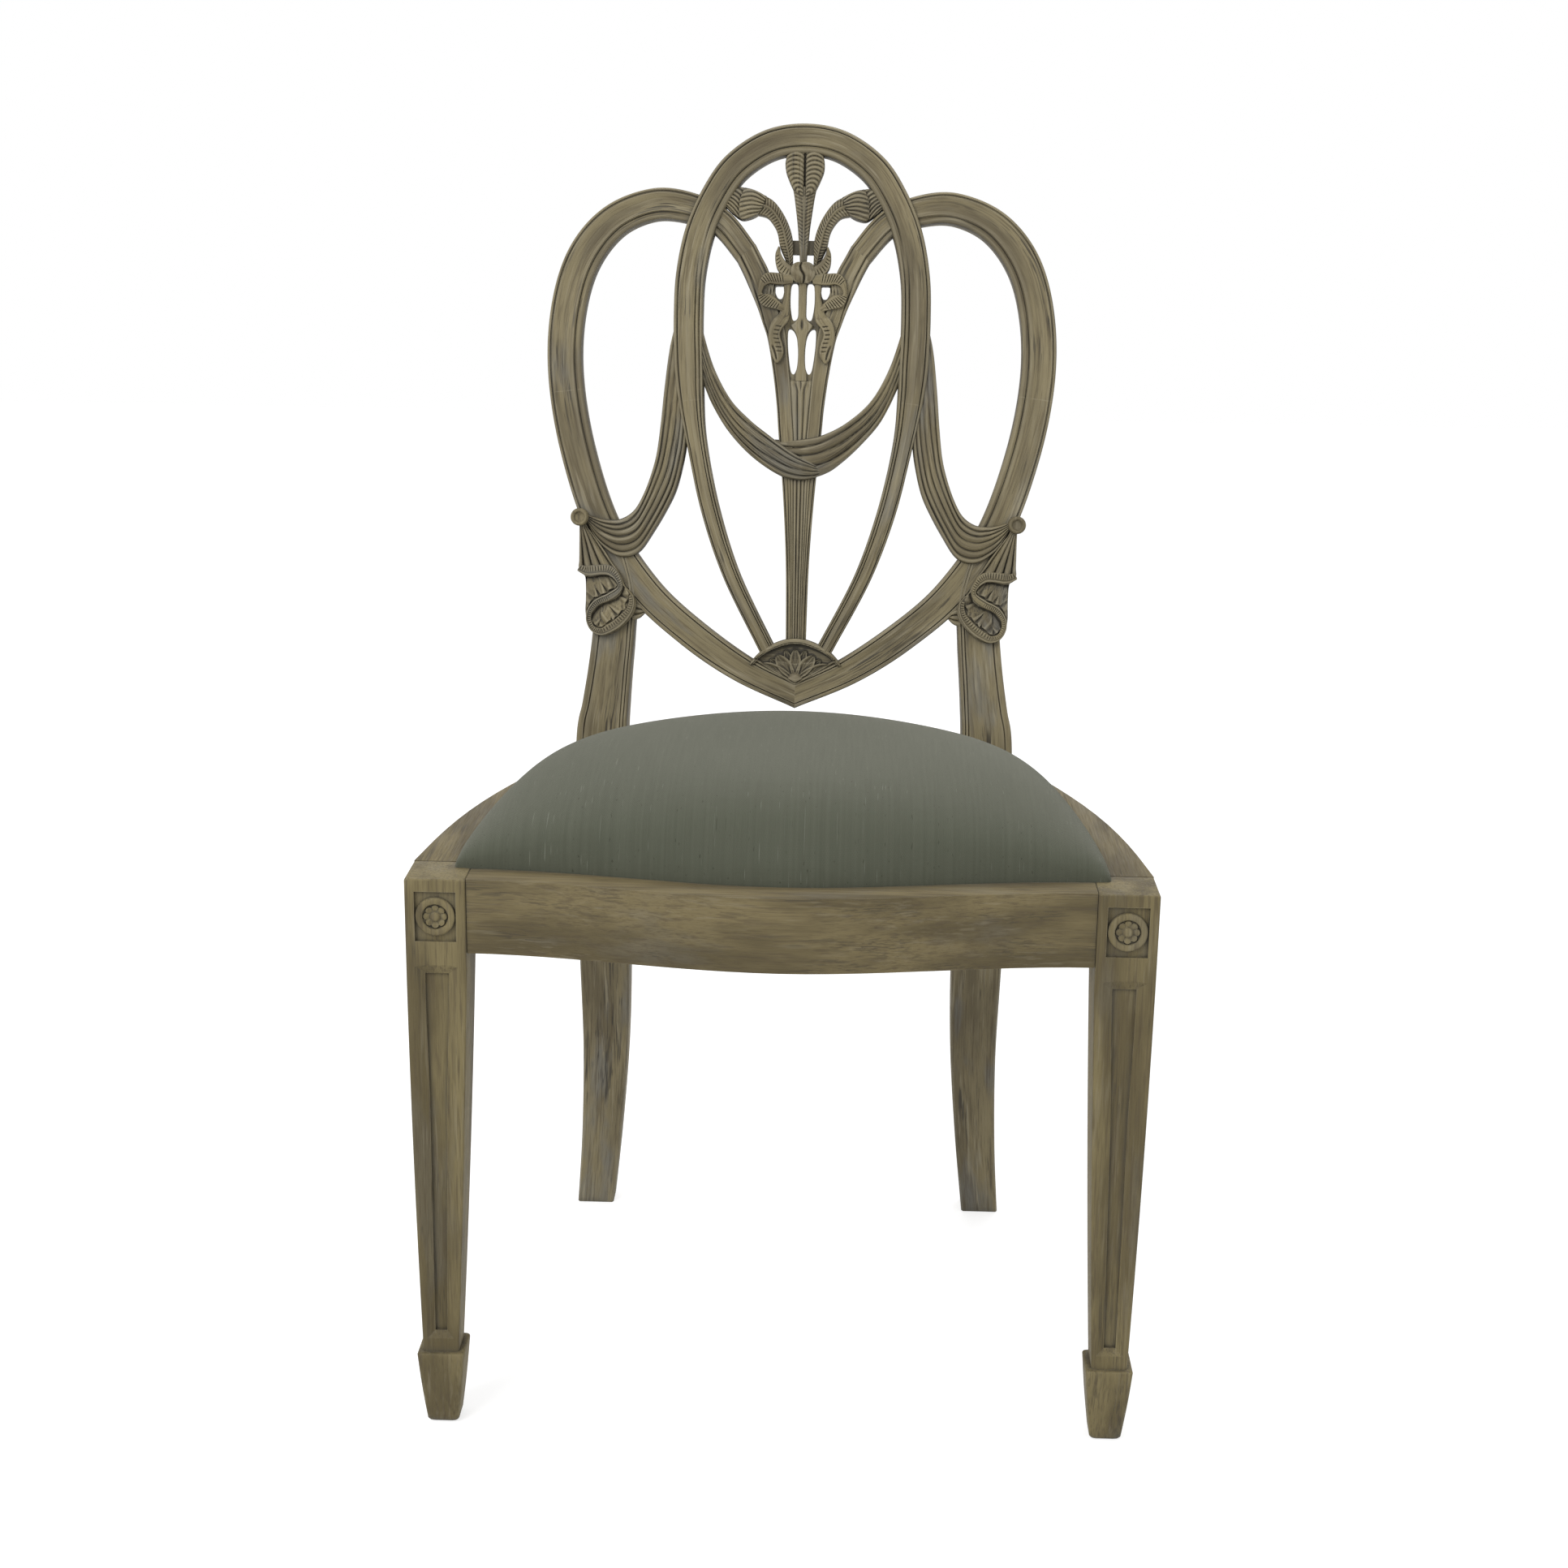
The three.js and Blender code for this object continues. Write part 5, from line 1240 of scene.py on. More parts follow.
RIBBON_OUTER = [
    (15.6, 404), (15.9, 397), (15.5, 387.4), (18.0, 379.6), (19.4, 373.8), (23.6, 369.0), (26.9, 362.7),
    (28, 355.4), (27.2, 349.5), (25.4, 342), (24, 336.4), (21.6, 332.4),
]
RIBBON_INNER = [
    (9.6, 403.4), (9.7, 396.6), (10.6, 386.6), (10.4, 379.3), (10.2, 372.4), (12.0, 366), (15.7, 361.8),
    (17.9, 357.4), (17.6, 353.2), (15.8, 348), (14.8, 342), (16.1, 336.5), (19.2, 332.4),
]


def ribbon_relief(s, t, x, v, w):
    """A plain strap beside the slots that turns over into a hanging ribbon with a curled end."""
    strap = -0.0012 + 0.0012 * t * t
    hanging = -0.0034 + 0.0008 * t * t + cuts(s, t, 21, -0.25, 0.50, 0.0013) * (s > 0.54) * (s < 0.90)
    curl = 0.0018 * np.exp(-((t - 0.62 + 3.0 * (s - 0.80)) / 0.16) ** 2) * rounded_step(s, 0.78, 0.82)
    turned = rounded_step(s, 0.40, 0.50)
    return strap * (1 - turned) + (hanging + curl * (1 - rounded_step(s, 0.94, 0.97))) * turned


CUFF_LOWER = [(20.9, 428.5), (23.2, 422.5), (23.1, 415.4), (21.4, 410), (17.5, 405.6), (8.5, 402.6)]
CUFF_UPPER = [(19.6, 428), (19.0, 424), (17, 419.5), (14, 415.7), (10.2, 412.8), (6.6, 411)]


def cuff_relief(s, t, x, v, w):
    """A band round a quill's foot, cut across for most of its length."""
    face = -0.0038 + 0.0008 * t * t + 0.0012 * rounded_step(s, 0.8, 1.0)
    return face + cuts(s, t, 11, -0.25, 0.62, 0.0013, 0.16) * (s > 0.22) * (s < 0.95)


HATCH_LINES = (0.0241, 0.0266, 0.0295)


def hatched_relief(s, t, x, v, w):
    """The sunk ground inside a loop, with three upright cuts."""
    lines = sum(groove(x + 0.12 * (v - 0.392), line, 0.0006, 1.0) for line in HATCH_LINES)
    return 0.0004 + 0.0014 * lines


HATCH_OUTER = [(22.9, 398.5), (34.5, 398.5)]
HATCH_INNER = [(22.9, 386.5), (34.5, 386)]
bow_parts = [carved("knot", edge(mirrored(KNOT_SIDE), 40), edge(KNOT_SIDE, 40), knot_relief, 0.012, across=44,
                    ease=0.0012)]
for hand in hands.values():
    bow_parts.append(carved("loop", edge(LOOP_INNER, 150), edge(LOOP_OUTER, 150), loop_relief, 0.012,
                            across=26, hand=hand, ease=0.0007))
    bow_parts.append(carved("ribbon", edge(RIBBON_INNER, 200), edge(RIBBON_OUTER, 200), ribbon_relief, 0.0150,
                            across=26, hand=hand, ease=0.0009))
    bow_parts.append(carved("cuff", edge(CUFF_LOWER, 80), edge(CUFF_UPPER, 80), cuff_relief, 0.013,
                            across=22, hand=hand, ease=0.0008))
    bow_parts.append(carved("hatching", edge(HATCH_INNER, 60), edge(HATCH_OUTER, 60), hatched_relief, 0.012,
                            across=20, hand=hand, ease=0.0003))
finished(joined("splat_carved", splat_parts + bow_parts), back_finish, replaced=["splat"])

# The three plumes, carved from one piece each and let into the splat and the hoop: a quill with barbs on
# both sides of its rib, and a curled head. Short links tie the side quills to the middle one.

MIDDLE_QUILL = [(2.6, 411), (3.0, 420), (4.0, 432), (5.2, 446), (7.0, 460), (8.6, 471), (10, 478)]
MIDDLE_HEAD = [
    (0.8, 470.4), (4.6, 471.4), (8.4, 474.6), (11, 479.2), (13.6, 485), (15.8, 491), (16.4, 497),
    (15.6, 502), (14.6, 507),
]
QUILL_OUTER = [
    (13.5, 410), (14.6, 417), (19.5, 428.4), (21.8, 439.4), (25.1, 446.6), (30.8, 453), (38.5, 455),
]
QUILL_INNER = [
    (8.6, 410), (8.7, 419.7), (9.0, 434), (12.5, 446.4), (18.5, 457.6), (25.5, 466), (33.4, 470.6),
]
HEAD_LOWER = [(36, 457.5), (40, 454), (46, 451.4), (52.4, 450.8), (59, 455), (66, 461.5), (71, 467)]
HEAD_UPPER = [(31.5, 469.8), (40.2, 474), (48, 476.6), (55, 477.4), (61, 477), (66, 476), (72, 474)]
BARB_PITCH = 0.0031


def barbs(along, t, length, slope=0.9, deep=0.0011):
    """Herringbone cuts that lean up from a quill's rib."""
    place = (along * length - np.abs(t) * slope * 0.004) / BARB_PITCH
    cut_face = deep * (1 - np.abs(np.sin(math.pi * place)) ** 0.75)
    return cut_face * np.clip((np.abs(t) - 0.12) / 0.12, 0, 1) * np.clip((0.98 - np.abs(t)) / 0.1, 0.3, 1)


def middle_quill_relief(s, t, x, v, w):
    """A round quill with a rib, its barbs starting above the knot."""
    rib = -0.0012 * np.clip(1 - np.abs(x) / 0.0011, 0, 1)
    start = rounded_step(s, 0.22, 0.34)
    return 0.0002 + 0.0013 * t * t + rib + barbs(s, t, 0.067) * start


def middle_head_relief(s, t, x, v, w):
    """Two round halves with a valley between them, cut across in arcs."""
    u = np.abs(t)
    lobe = -0.0023 + 0.0022 * np.abs(2 * u - 1) ** 2.4
    valley = 0.0024 * np.exp(-(x / 0.0008) ** 2)
    place = (v + 0.0034 * (2 * u - 1) ** 2) / 0.0037
    return lobe + valley + 0.0015 * (1 - np.abs(np.sin(math.pi * place)) ** 0.8) * np.clip(u / 0.06, 0, 1)


def quill_relief(s, t, x, v, w):
    """A round quill with a rib and barbs on its whole length."""
    rib = -0.0012 * np.clip(1 - np.abs(t) * w / 2 / 0.0011, 0, 1)
    return 0.0002 + 0.0012 * t * t + rib + barbs(s, t, 0.072, deep=0.0012)


def head_relief(s, t, x, v, w):
    """Two clumps of barbs, the outer one tucked behind the inner."""
    joint = 0.47 + 0.05 * (1 - t * t)
    outer = s > joint
    share = np.where(outer, (s - joint) / (1 - joint), s / joint)
    bulge = np.where(outer, -0.0010 + 0.0020 * (1 - share) ** 3, -0.0030 + 0.0022 * (2 * share - 0.8) ** 2)
    place = (t + 1) / 2 * 6.5 + 0.9 * (2 * share - 1) ** 2 + np.where(outer, 0.5, 0)
    barb = 0.0015 * (1 - np.abs(np.sin(math.pi * place)) ** 0.8)
    return bulge + barb + 0.0014 * t * t


LINK = [(2.2, 423), (9.8, 423), (9.8, 434.5), (2.8, 434.5)]
middle_parts = [
    carved("quill", edge(mirrored(MIDDLE_QUILL), 120), edge(MIDDLE_QUILL, 120), middle_quill_relief, 0.0155,
           across=30, ease=0.0011),
    carved("head", edge(mirrored(MIDDLE_HEAD), 110), edge(MIDDLE_HEAD, 110), middle_head_relief, 0.0158,
           across=64, ease=0.0014),
    sawn("link", LINK, 0.0060, 0.0135), sawn("link", mirrored(LINK)[::-1], 0.0060, 0.0135),
]
finished(joined("plume_middle_carved", middle_parts), back_finish, replaced=["plume_middle"])
for side, hand in hands.items():
    parts = [
        carved("quill", edge(QUILL_OUTER, 170), edge(QUILL_INNER, 170), quill_relief, 0.0155, across=30,
               hand=hand, ease=0.0011),
        carved("head", edge(HEAD_LOWER, 110), edge(HEAD_UPPER, 110), head_relief, 0.0158, across=64,
               hand=hand, ease=0.0014),
    ]
    finished(joined(f"plume_{side}_carved", parts), back_finish, replaced=[f"plume_{side}"])

# The swags: carved drapery. The middle one hangs inside the hoop, its left bundle of folds laid over the
# right one, and the side ones hang from the hoop to the knobs. They are let into the bands they cross.

LEFT_UPPER = [
    (-90, 384), (-83.5, 358.7), (-73.5, 328), (-59, 301.8), (-42, 284.5), (-26.8, 272.8),
    (-15.7, 264.8), (-4.6, 257.3), (5, 252.4), (12, 249), (17, 246.4), (20, 243.4),
]
LEFT_LOWER = [
    (-92, 330), (-83, 316), (-74.5, 297.5), (-62.4, 277.8), (-47.1, 260.4), (-30.4, 247), (-13, 237.4),
    (0, 235), (9, 236), (15, 238.2), (19.2, 241.4),
]
RIGHT_UPPER = [
    (90, 384), (83.5, 358.7), (73.5, 328), (59, 301.8), (38.5, 283.2), (18, 272.6), (2, 269.4),
    (-10, 268.6), (-21, 269.0),
]
RIGHT_LOWER = [
    (92, 330), (83, 316), (74.5, 297.5), (65.3, 281.4), (49.8, 263.6), (36, 250.6), (24, 242),
    (10, 237.8), (-8, 241),
]


def folds(t, count, lean=0.0, sharp=0.65):
    """Round folds with sharp valleys between them: 0 on a crest and 1 in a valley."""
    place = (t + 1) / 2 * count + lean
    return 1 - np.abs(np.sin(math.pi * place)) ** sharp


def left_swag_relief(s, t, x, v, w):
    """Five folds that stand out more towards the middle and sink again at the bundle's end."""
    out = -0.0010 - 0.0056 * rounded_step(s, 0.0, 0.55) + 0.0036 * rounded_step(s, 0.93, 1.0)
    spread = t + 0.10 * np.sin(3 * t + 4 * s)
    deep = 0.0013 + 0.0009 * rounded_step(s, 0.1, 0.6)
    fine = 0.0005 * folds(t, 11, 2 * s)
    return out + 0.0022 * t * t + deep * folds(spread, 5, 0.2 * np.sin(5 * s)) + fine


def right_swag_relief(s, t, x, v, w):
    """Four folds that run in under the left bundle."""
    out = -0.0008 - 0.0036 * rounded_step(s, 0.0, 0.5) + 0.0040 * rounded_step(s, 0.85, 1.0)
    spread = t + 0.08 * np.sin(2.5 * t + 5 * s)
    deep = 0.0014 + 0.0016 * rounded_step(s, 0.2, 0.7)
    return out + 0.0020 * t * t + deep * folds(spread, 4, 0.15 * np.sin(6 * s))


swag_parts = [
    carved("left_bundle", edge(LEFT_LOWER, 200), edge(LEFT_UPPER, 200), left_swag_relief, 0.013, across=72,
           ease=0.0016),
    carved("right_bundle", edge(RIGHT_LOWER, 200), edge(RIGHT_UPPER, 200), right_swag_relief, 0.0125,
           across=64, ease=0.0016),
]
finished(joined("swag_middle_carved", swag_parts), back_finish, replaced=["swag_middle"])

DRAPE_OUTER = [
    (104, 372), (110.5, 345), (114.5, 312), (117.2, 281.3), (120.3, 255.6), (125.2, 236.6),
    (131.8, 219.2), (139, 207), (149, 200.2), (159.5, 199), (170, 200.6), (180, 203.6),
]
DRAPE_INNER = [
    (90, 364), (91, 335), (92.6, 300), (95, 266.3), (98, 246.4), (103.6, 224.5), (112, 206.6),
    (122.2, 189), (132.4, 173.8), (141.5, 168.4), (151.6, 168.4), (160.8, 173.2), (169.6, 181.8),
    (178, 196),
]


def drape_relief(s, t, x, v, w):
    """Six folds, shallow where the drape leaves the hoop and where it is gathered at the knob."""
    out = -0.0002 - 0.0050 * rounded_step(s, 0.12, 0.6) - 0.0010 * rounded_step(s, 0.85, 1.0)
    spread = t + 0.07 * np.sin(3.1 * t + 1.5 + 2.5 * s)
    deep = 0.0010 + 0.0012 * rounded_step(s, 0.15, 0.6)
    deep = deep * (1 - 0.5 * rounded_step(s, 0.9, 1.0))
    return out + 0.0016 * t * t + deep * folds(spread, 6)


for side, hand in hands.items():
    drape = carved(f"swag_{side}_carved", edge(DRAPE_INNER, 220), edge(DRAPE_OUTER, 220), drape_relief, 0.013,
                   across=84, hand=hand, ease=0.0014)
    finished(drape, back_finish, replaced=[f"swag_{side}"])

# The tails: what hangs below each knob, a pleated cone with a hem that runs on as a ribbon in an S over
# two hollows of pleats. The hem's edge is cut across with a small gouge.

KNOB_PLACE = np.array([184.0, 200.7])
TAIL_OUTER = [
    (185, 206), (184.8, 193), (184.6, 185), (184.6, 175), (184.6, 164.5), (185, 158.6), (182.8, 153.6),
    (179.4, 150.6), (178.6, 141), (178.6, 131), (178.8, 121.6), (177.4, 112.8), (174, 106.3),
    (170, 102.8), (166.4, 101.4),
]
TAIL_INNER = [
    (178.5, 206), (177.6, 193.7), (172.8, 187.1), (167.6, 179.4), (161.6, 170.8), (156.6, 162.6),
    (152.4, 157.3), (148.4, 150.5), (145, 142.8), (140.4, 138.6), (137, 133.1), (135.9, 127.3),
    (137.3, 120.9), (141.4, 114.5), (147.4, 108.6), (154.6, 103.5), (161.5, 101.1),
]
ROOF_ONE = [
    (179, 151), (173.4, 151), (165.5, 152.7), (159.6, 152.5), (154.7, 150.6), (151.6, 147.5),
    (150.7, 144.6),
]
LIP_ONE = [
    (151, 143.6), (153.6, 141.1), (157.5, 139.8), (160.1, 136.8), (164.6, 135.5), (167, 133.2),
    (170.9, 132.9), (173.8, 129), (177.5, 121),
]
ROOF_TWO = [
    (175, 114), (174, 119), (172, 121.7), (168.2, 126.2), (163.8, 128.7), (158.9, 130.6),
    (153.5, 132.6), (149.6, 135.8), (148, 140.3), (147, 144),
]
LIP_TWO = [
    (141.4, 137), (142, 132.1), (144.7, 127.9), (143.4, 123.2), (147.7, 122.2), (150.2, 118),
    (153.2, 116.2), (154.1, 113), (157.5, 113.5), (160.6, 110.9), (163.7, 108.1), (167.4, 107.5),
    (170.8, 109.7), (172.9, 113),
]
PLEAT_PITCH = 0.0072
PLEAT_TURN = 9.5
HEM = [
    (184.6, 158.2, 5.4), (178.9, 155.9, 7.6), (174, 155.8, 9), (166.8, 156.6, 8.4), (160.4, 156.7, 8.6),
    (155.6, 154.4, 7.6), (151.8, 150, 5.2), (149.5, 144.8, 3.4), (150.1, 140.8, 4.4), (152.6, 138, 5.6),
    (156.4, 135.4, 6), (160.9, 132.9, 5.8), (165.7, 130.9, 5.6), (170, 128.2, 5.4), (173.5, 124, 4.8),
    (175.6, 119.2, 4.2), (175.6, 113.6, 4.2), (173, 108, 4.4), (168.8, 105, 5.2), (163.4, 104.6, 6.4),
    (156.2, 108.3, 7.6), (150.4, 112.4, 8), (144.9, 118, 7.2), (141.1, 123.4, 5.8), (139.4, 129.6, 5),
    (139.9, 135.6, 4.2),
]
TIP_UPPER = [(139, 129.6), (134, 128.2), (129, 124.4)]
TIP_LOWER = [(139, 114), (133.2, 116.2), (129, 120.2)]


def beside(x, v, line):
    """How far each place is from a drawn line, and how far along the line the nearest point of it lies."""
    points = np.array(line) / 1000
    nearest, along, lead = np.full(x.shape, 9.0), np.zeros(x.shape), 0.0
    for (ax, av), (bx, bv) in zip(points[:-1], points[1:]):
        length = math.hypot(bx - ax, bv - av)
        share = np.clip(((x - ax) * (bx - ax) + (v - av) * (bv - av)) / length ** 2, 0, 1)
        gap = np.hypot(x - ax - share * (bx - ax), v - av - share * (bv - av))
        along = np.where(gap < nearest, lead + share * length, along)
        nearest = np.minimum(gap, nearest)
        lead += length
    return nearest, along


def within(x, v, outline):
    """Whether each place lies inside a drawn outline."""
    points = np.array(outline) / 1000
    inside = np.zeros(x.shape, bool)
    for (ax, av), (bx, bv) in zip(points, np.roll(points, -1, 0)):
        inside ^= ((av > v) != (bv > v)) & (x < (bx - ax) * (v - av) / (bv - av + 1e-12) + ax)
    return inside


def tail_relief(s, t, x, v, w):
    """Pleats that fan out from the knob, then two pleated hollows with scalloped lips under the ribbon."""
    turn = np.degrees(np.arctan2(KNOB_PLACE[1] / 1000 - v, KNOB_PLACE[0] / 1000 - x))
    spread = rounded_step(0.196 - v, 0.0, 0.034)
    pleats = 1 - np.abs(np.sin(math.pi * turn / PLEAT_TURN)) ** 0.5
    cone = -0.0058 + 0.0020 * t * t + (0.0012 + 0.0030 * spread) * pleats
    depth = np.where(v > 0.1565, cone, -0.0036)
    for roof, lip in ((ROOF_ONE, LIP_ONE), (ROOF_TWO, LIP_TWO)):
        from_roof, _ = beside(x, v, roof)
        from_lip, along = beside(x, v, lip)
        rise = from_roof / (from_roof + from_lip + 1e-6)
        pleat = 0.5 - 0.5 * np.cos(2 * math.pi * along / PLEAT_PITCH)
        hollow = -0.0006 - 0.0064 * rise ** 0.7 + 0.0026 * pleat * (0.5 + 0.5 * rise)
        sunk = within(x, v, roof + lip) * rounded_step(np.minimum(from_roof, from_lip), 0.0, 0.0009)
        depth = depth * (1 - sunk) + hollow * sunk
    return depth


def hem_width(t):
    """The ribbon's width in millimetres, at shares of its length."""
    return np.interp(t, np.linspace(0, 1, len(HEM)), [width for _, _, width in HEM])


def hem_relief(s, t, x, v, w):
    """A ribbon with a rolled rim, cut across beside the rim with a small gouge."""
    face = -0.0070 + 0.0005 * t * t - 0.0007 * rounded_step(t, 0.45, 0.62) + groove(t, 0.45, 0.12, 0.0007)
    uncut = rounded_step(s, 0.30, 0.34) * (1 - rounded_step(s, 0.40, 0.44))
    return face + cuts(s, t, 78, -0.30, 0.66, 0.0010, 0.30) * (1 - uncut)


def tip_relief(s, t, x, v, w):
    """The folded corner of cloth that sticks out beside the ribbon."""
    return -0.0006 + 0.0016 * folds(t, 3) + 0.0014 * rounded_step(s, 0.5, 1.0)


hem_inner, hem_outer = bounded([(x, v) for x, v, _ in HEM], 0, 1, 460, hem_width)
for side, hand in hands.items():
    parts = [
        carved("pleats", edge(TAIL_OUTER, 260), edge(TAIL_INNER, 260), tail_relief, 0.012, across=120,
               hand=hand, ease=0.0014),
        carved("hem", hem_inner / 1000, hem_outer / 1000, hem_relief, 0.002, across=20, hand=hand,
               ease=0.0007),
        carved("tip", edge(TIP_LOWER, 24), edge(TIP_UPPER, 24), tip_relief, 0.012, across=30, hand=hand,
               ease=0.0010),
    ]
    finished(joined(f"tail_{side}_carved", parts), back_finish, replaced=[f"tail_{side}"])

# The knobs: turned buttons of the same wood that the drapery hangs from, each with a raised rim round
# a dished middle. They are let into the band behind them, where the drape and the tail meet.

KNOB_RADIUS = 0.0074
KNOB_PROFILE = [
    (1.0, 0.0), (1.0, -0.0105), (0.97, -0.0118), (0.86, -0.0128), (0.70, -0.0129), (0.60, -0.0122),
    (0.48, -0.0111), (0.30, -0.0106), (0.12, -0.0105),
]


def knob(name, hand):
    """A button turned to the profile, from its back to the bottom of its dish."""
    around = 64
    turn = np.arange(around) * 2 * math.pi / around
    rings = []
    for share, depth in KNOB_PROFILE:
        radius = KNOB_RADIUS * share
        across = hand * KNOB_PLACE[0] / 1000 + radius * np.cos(turn)
        up = KNOB_PLACE[1] / 1000 + radius * np.sin(turn)
        rings.append(np.stack([across, np.full(around, depth), up], 1))
    rings = np.array(rings)
    sunk = np.zeros(rings.shape[:2])
    # Painted shade on the inner slope of the rim, where the dish begins.
    sunk[5:7] = 0.25
    return bar(name, on_back(rings), rings.copy(), hollow=sunk, smooth=math.radians(60))


for side, hand in hands.items():
    finished(knob(f"knob_{side}_turned", hand), back_finish, replaced=[f"knob_{side}"])

# The loose seat's cover and pad: linen drawn tight over a domed foam pad and tacked to the seat frame.
# The cloth is swelled by a short simulation, held where it goes down inside the rails.

COVER_VOXEL = 0.005
COVER_WALL = 0.0043
COVER_CROWN = 0.0555
COVER_ROUNDING = 3.0
COVER_RISE = 0.0035
COVER_THICK = 0.0012
COVER_SPARE = 0.008
COVER_BLEND = 0.004
HELD_ABOVE = 0.002
HELD_BLEND = 0.012
CLOTH_FRAMES = 20
EVEN_ROUNDS = 120
PAD_INSET = 0.0022
PAD_REACH = 0.3
seat_low, seat_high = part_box("seat_cover")
seat_middle = (seat_low + seat_high) / 2


def cover_outline():
    """The outline of the CAD cover in plan, as a closed line round the middle of the seat."""
    places = np.array([v.co[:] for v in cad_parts["seat_cover"].data.vertices])
    level = places[np.abs(places[:, 2] - rail_top - COVER_WALL) < 0.0002]
    outline = np.unique(level[:, :2].round(6), axis=0) - (0, seat_middle.y)
    outline = outline[np.argsort(np.arctan2(outline[:, 1], outline[:, 0]))]
    return np.vstack([outline, outline[:1]])


def free_share(height):
    """0 down inside the rails, where the cover is held, and 1 above them, where it is free."""
    return np.clip((height - rail_top + HELD_ABOVE) / HELD_BLEND, 0, 1)


def cover_blank():
    """A closed dome on the outline of the CAD cover. Its rings lose their corners step by step."""
    wall_top = rail_top + COVER_WALL
    middle = np.array([0, seat_middle.y])
    closed = cover_outline()
    length = np.concatenate([[0], np.cumsum(np.linalg.norm(np.diff(closed, axis=0), axis=1))])
    even = np.linspace(0, length[-1], 200, endpoint=False)
    outline = np.stack([np.interp(even, length, closed[:, k]) for k in (0, 1)], 1)
    waves = np.fft.fft(outline[:, 0] + 1j * outline[:, 1])
    order = np.abs(np.fft.fftfreq(len(outline), 1 / len(outline)))
    rings = [np.column_stack([middle + outline, np.full(len(outline), z)])
             for z in np.linspace(seat_low.z - COVER_SPARE, wall_top, 6)]
    for inward in (np.linspace(0, 1, 40) ** 1.8)[1:-1]:
        kept = np.exp(-(np.maximum(order - 1, 0) * COVER_ROUNDING * inward) ** 1.5)
        ring = np.fft.ifft(waves * kept) * (1 - inward)
        rise = COVER_CROWN * (1 - (1 - inward) ** 4.5) ** 0.66
        height = np.full(len(ring), wall_top + rise)
        rings.append(np.column_stack([ring.real, middle[1] + ring.imag, height]))
    rings = np.array(rings)
    piece = bar("seat_cushion", rings, rings.copy())
    remesh = piece.modifiers.new("remesh", "REMESH")
    remesh.mode = "VOXEL"
    remesh.voxel_size = COVER_VOXEL
    apply_all(piece)
    free = piece.vertex_groups.new(name="free")
    held = piece.vertex_groups.new(name="held")
    for v in piece.data.vertices:
        share = float(free_share(v.co.z))
        free.add([v.index], share, "REPLACE")
        held.add([v.index], 1 - share, "REPLACE")
    smoothing = piece.modifiers.new("smoothing", "SMOOTH")
    smoothing.factor = 0.5
    smoothing.iterations = 3
    smoothing.vertex_group = "free"
    apply_all(piece)
    return piece


def swelled(piece):
    """Blows the blank up as tight cloth, caps how far any point may move and evens out the swelling."""
    scene = bpy.context.scene
    start = points_of(piece)
    cloth = piece.modifiers.new("cloth", "CLOTH")
    cloth.settings.quality = 6
    cloth.settings.mass = 0.3
    cloth.settings.tension_stiffness = 25
    cloth.settings.compression_stiffness = 25
    cloth.settings.shear_stiffness = 15
    cloth.settings.bending_stiffness = 1.5
    cloth.settings.use_pressure = True
    cloth.settings.uniform_pressure_force = 4
    cloth.settings.effector_weights.gravity = 0
    cloth.settings.vertex_group_mass = "held"
    cloth.point_cache.frame_start = 1
    cloth.point_cache.frame_end = CLOTH_FRAMES
    for step in range(1, CLOTH_FRAMES + 1):
        scene.frame_set(step)
    apply_all(piece)
    scene.frame_set(1)
    shift = points_of(piece) - start
    far = np.linalg.norm(shift, axis=1)
    capped = np.tanh(far / COVER_RISE) * COVER_RISE
    shift = shift * np.where(far > 1e-9, capped / np.maximum(far, 1e-9), 0)[:, None]
    pairs = np.array([line.vertices[:] for line in piece.data.edges])
    shares = free_share(start[:, 2])[:, None]
    neighbours = np.maximum(np.bincount(pairs.reshape(-1), minlength=len(shift)), 1)[:, None]
    for _ in range(EVEN_ROUNDS):
        total = np.zeros_like(shift)
        np.add.at(total, pairs[:, 0], shift[pairs[:, 1]])
        np.add.at(total, pairs[:, 1], shift[pairs[:, 0]])
        shift = total / neighbours * shares
    piece.data.vertices.foreach_set("co", (start + shift).reshape(-1))
    return piece


def trimmed(piece):
    """Cuts the spare cloth off level with the seat frame's underside."""
    level = (0, 0, seat_low.z)
    edit(piece, lambda: bpy.ops.mesh.bisect(plane_co=level, plane_no=(0, 0, 1), clear_inner=True))


def drawn_tight(piece):
    """Draws the cover's wall straight round the seat frame, out to the outline of the CAD cover."""
    _, frame_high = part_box("seat_frame_front")
    outline = cover_outline() + (0, seat_middle.y)
    start = outline[:-1]
    side = np.diff(outline, axis=0)
    for v in piece.data.vertices:
        share = min(1, (frame_high.z + COVER_BLEND - v.co.z) / COVER_BLEND)
        if share > 0:
            place = np.array(v.co[:2])
            along = np.clip(((place - start) * side).sum(1) / (side ** 2).sum(1), 0, 1)
            near = start + along[:, None] * side
            best = near[np.argmin(np.linalg.norm(near - place, axis=1))]
            v.co.x, v.co.y = place + (best - place) * share


def pad_under(piece):
    """The foam under the cover: the same dome drawn in, and cut off flat over the webbing."""
    pad = bpy.data.objects.new("seat_pad", piece.data.copy())
    pad.data.name = "seat_pad"
    bpy.context.scene.collection.objects.link(pad)
    for v in pad.data.vertices:
        v.co = v.co - v.normal * PAD_INSET
    pad_low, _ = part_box("foam_pad")
    corner = Vector((PAD_REACH, PAD_REACH, pad_low.z))
    below = Vector((-PAD_REACH, -PAD_REACH, seat_low.z - 2 * COVER_SPARE))
    cut(pad, wedge("below_pad", below, corner))
    return joined("seat_pad", [pad])


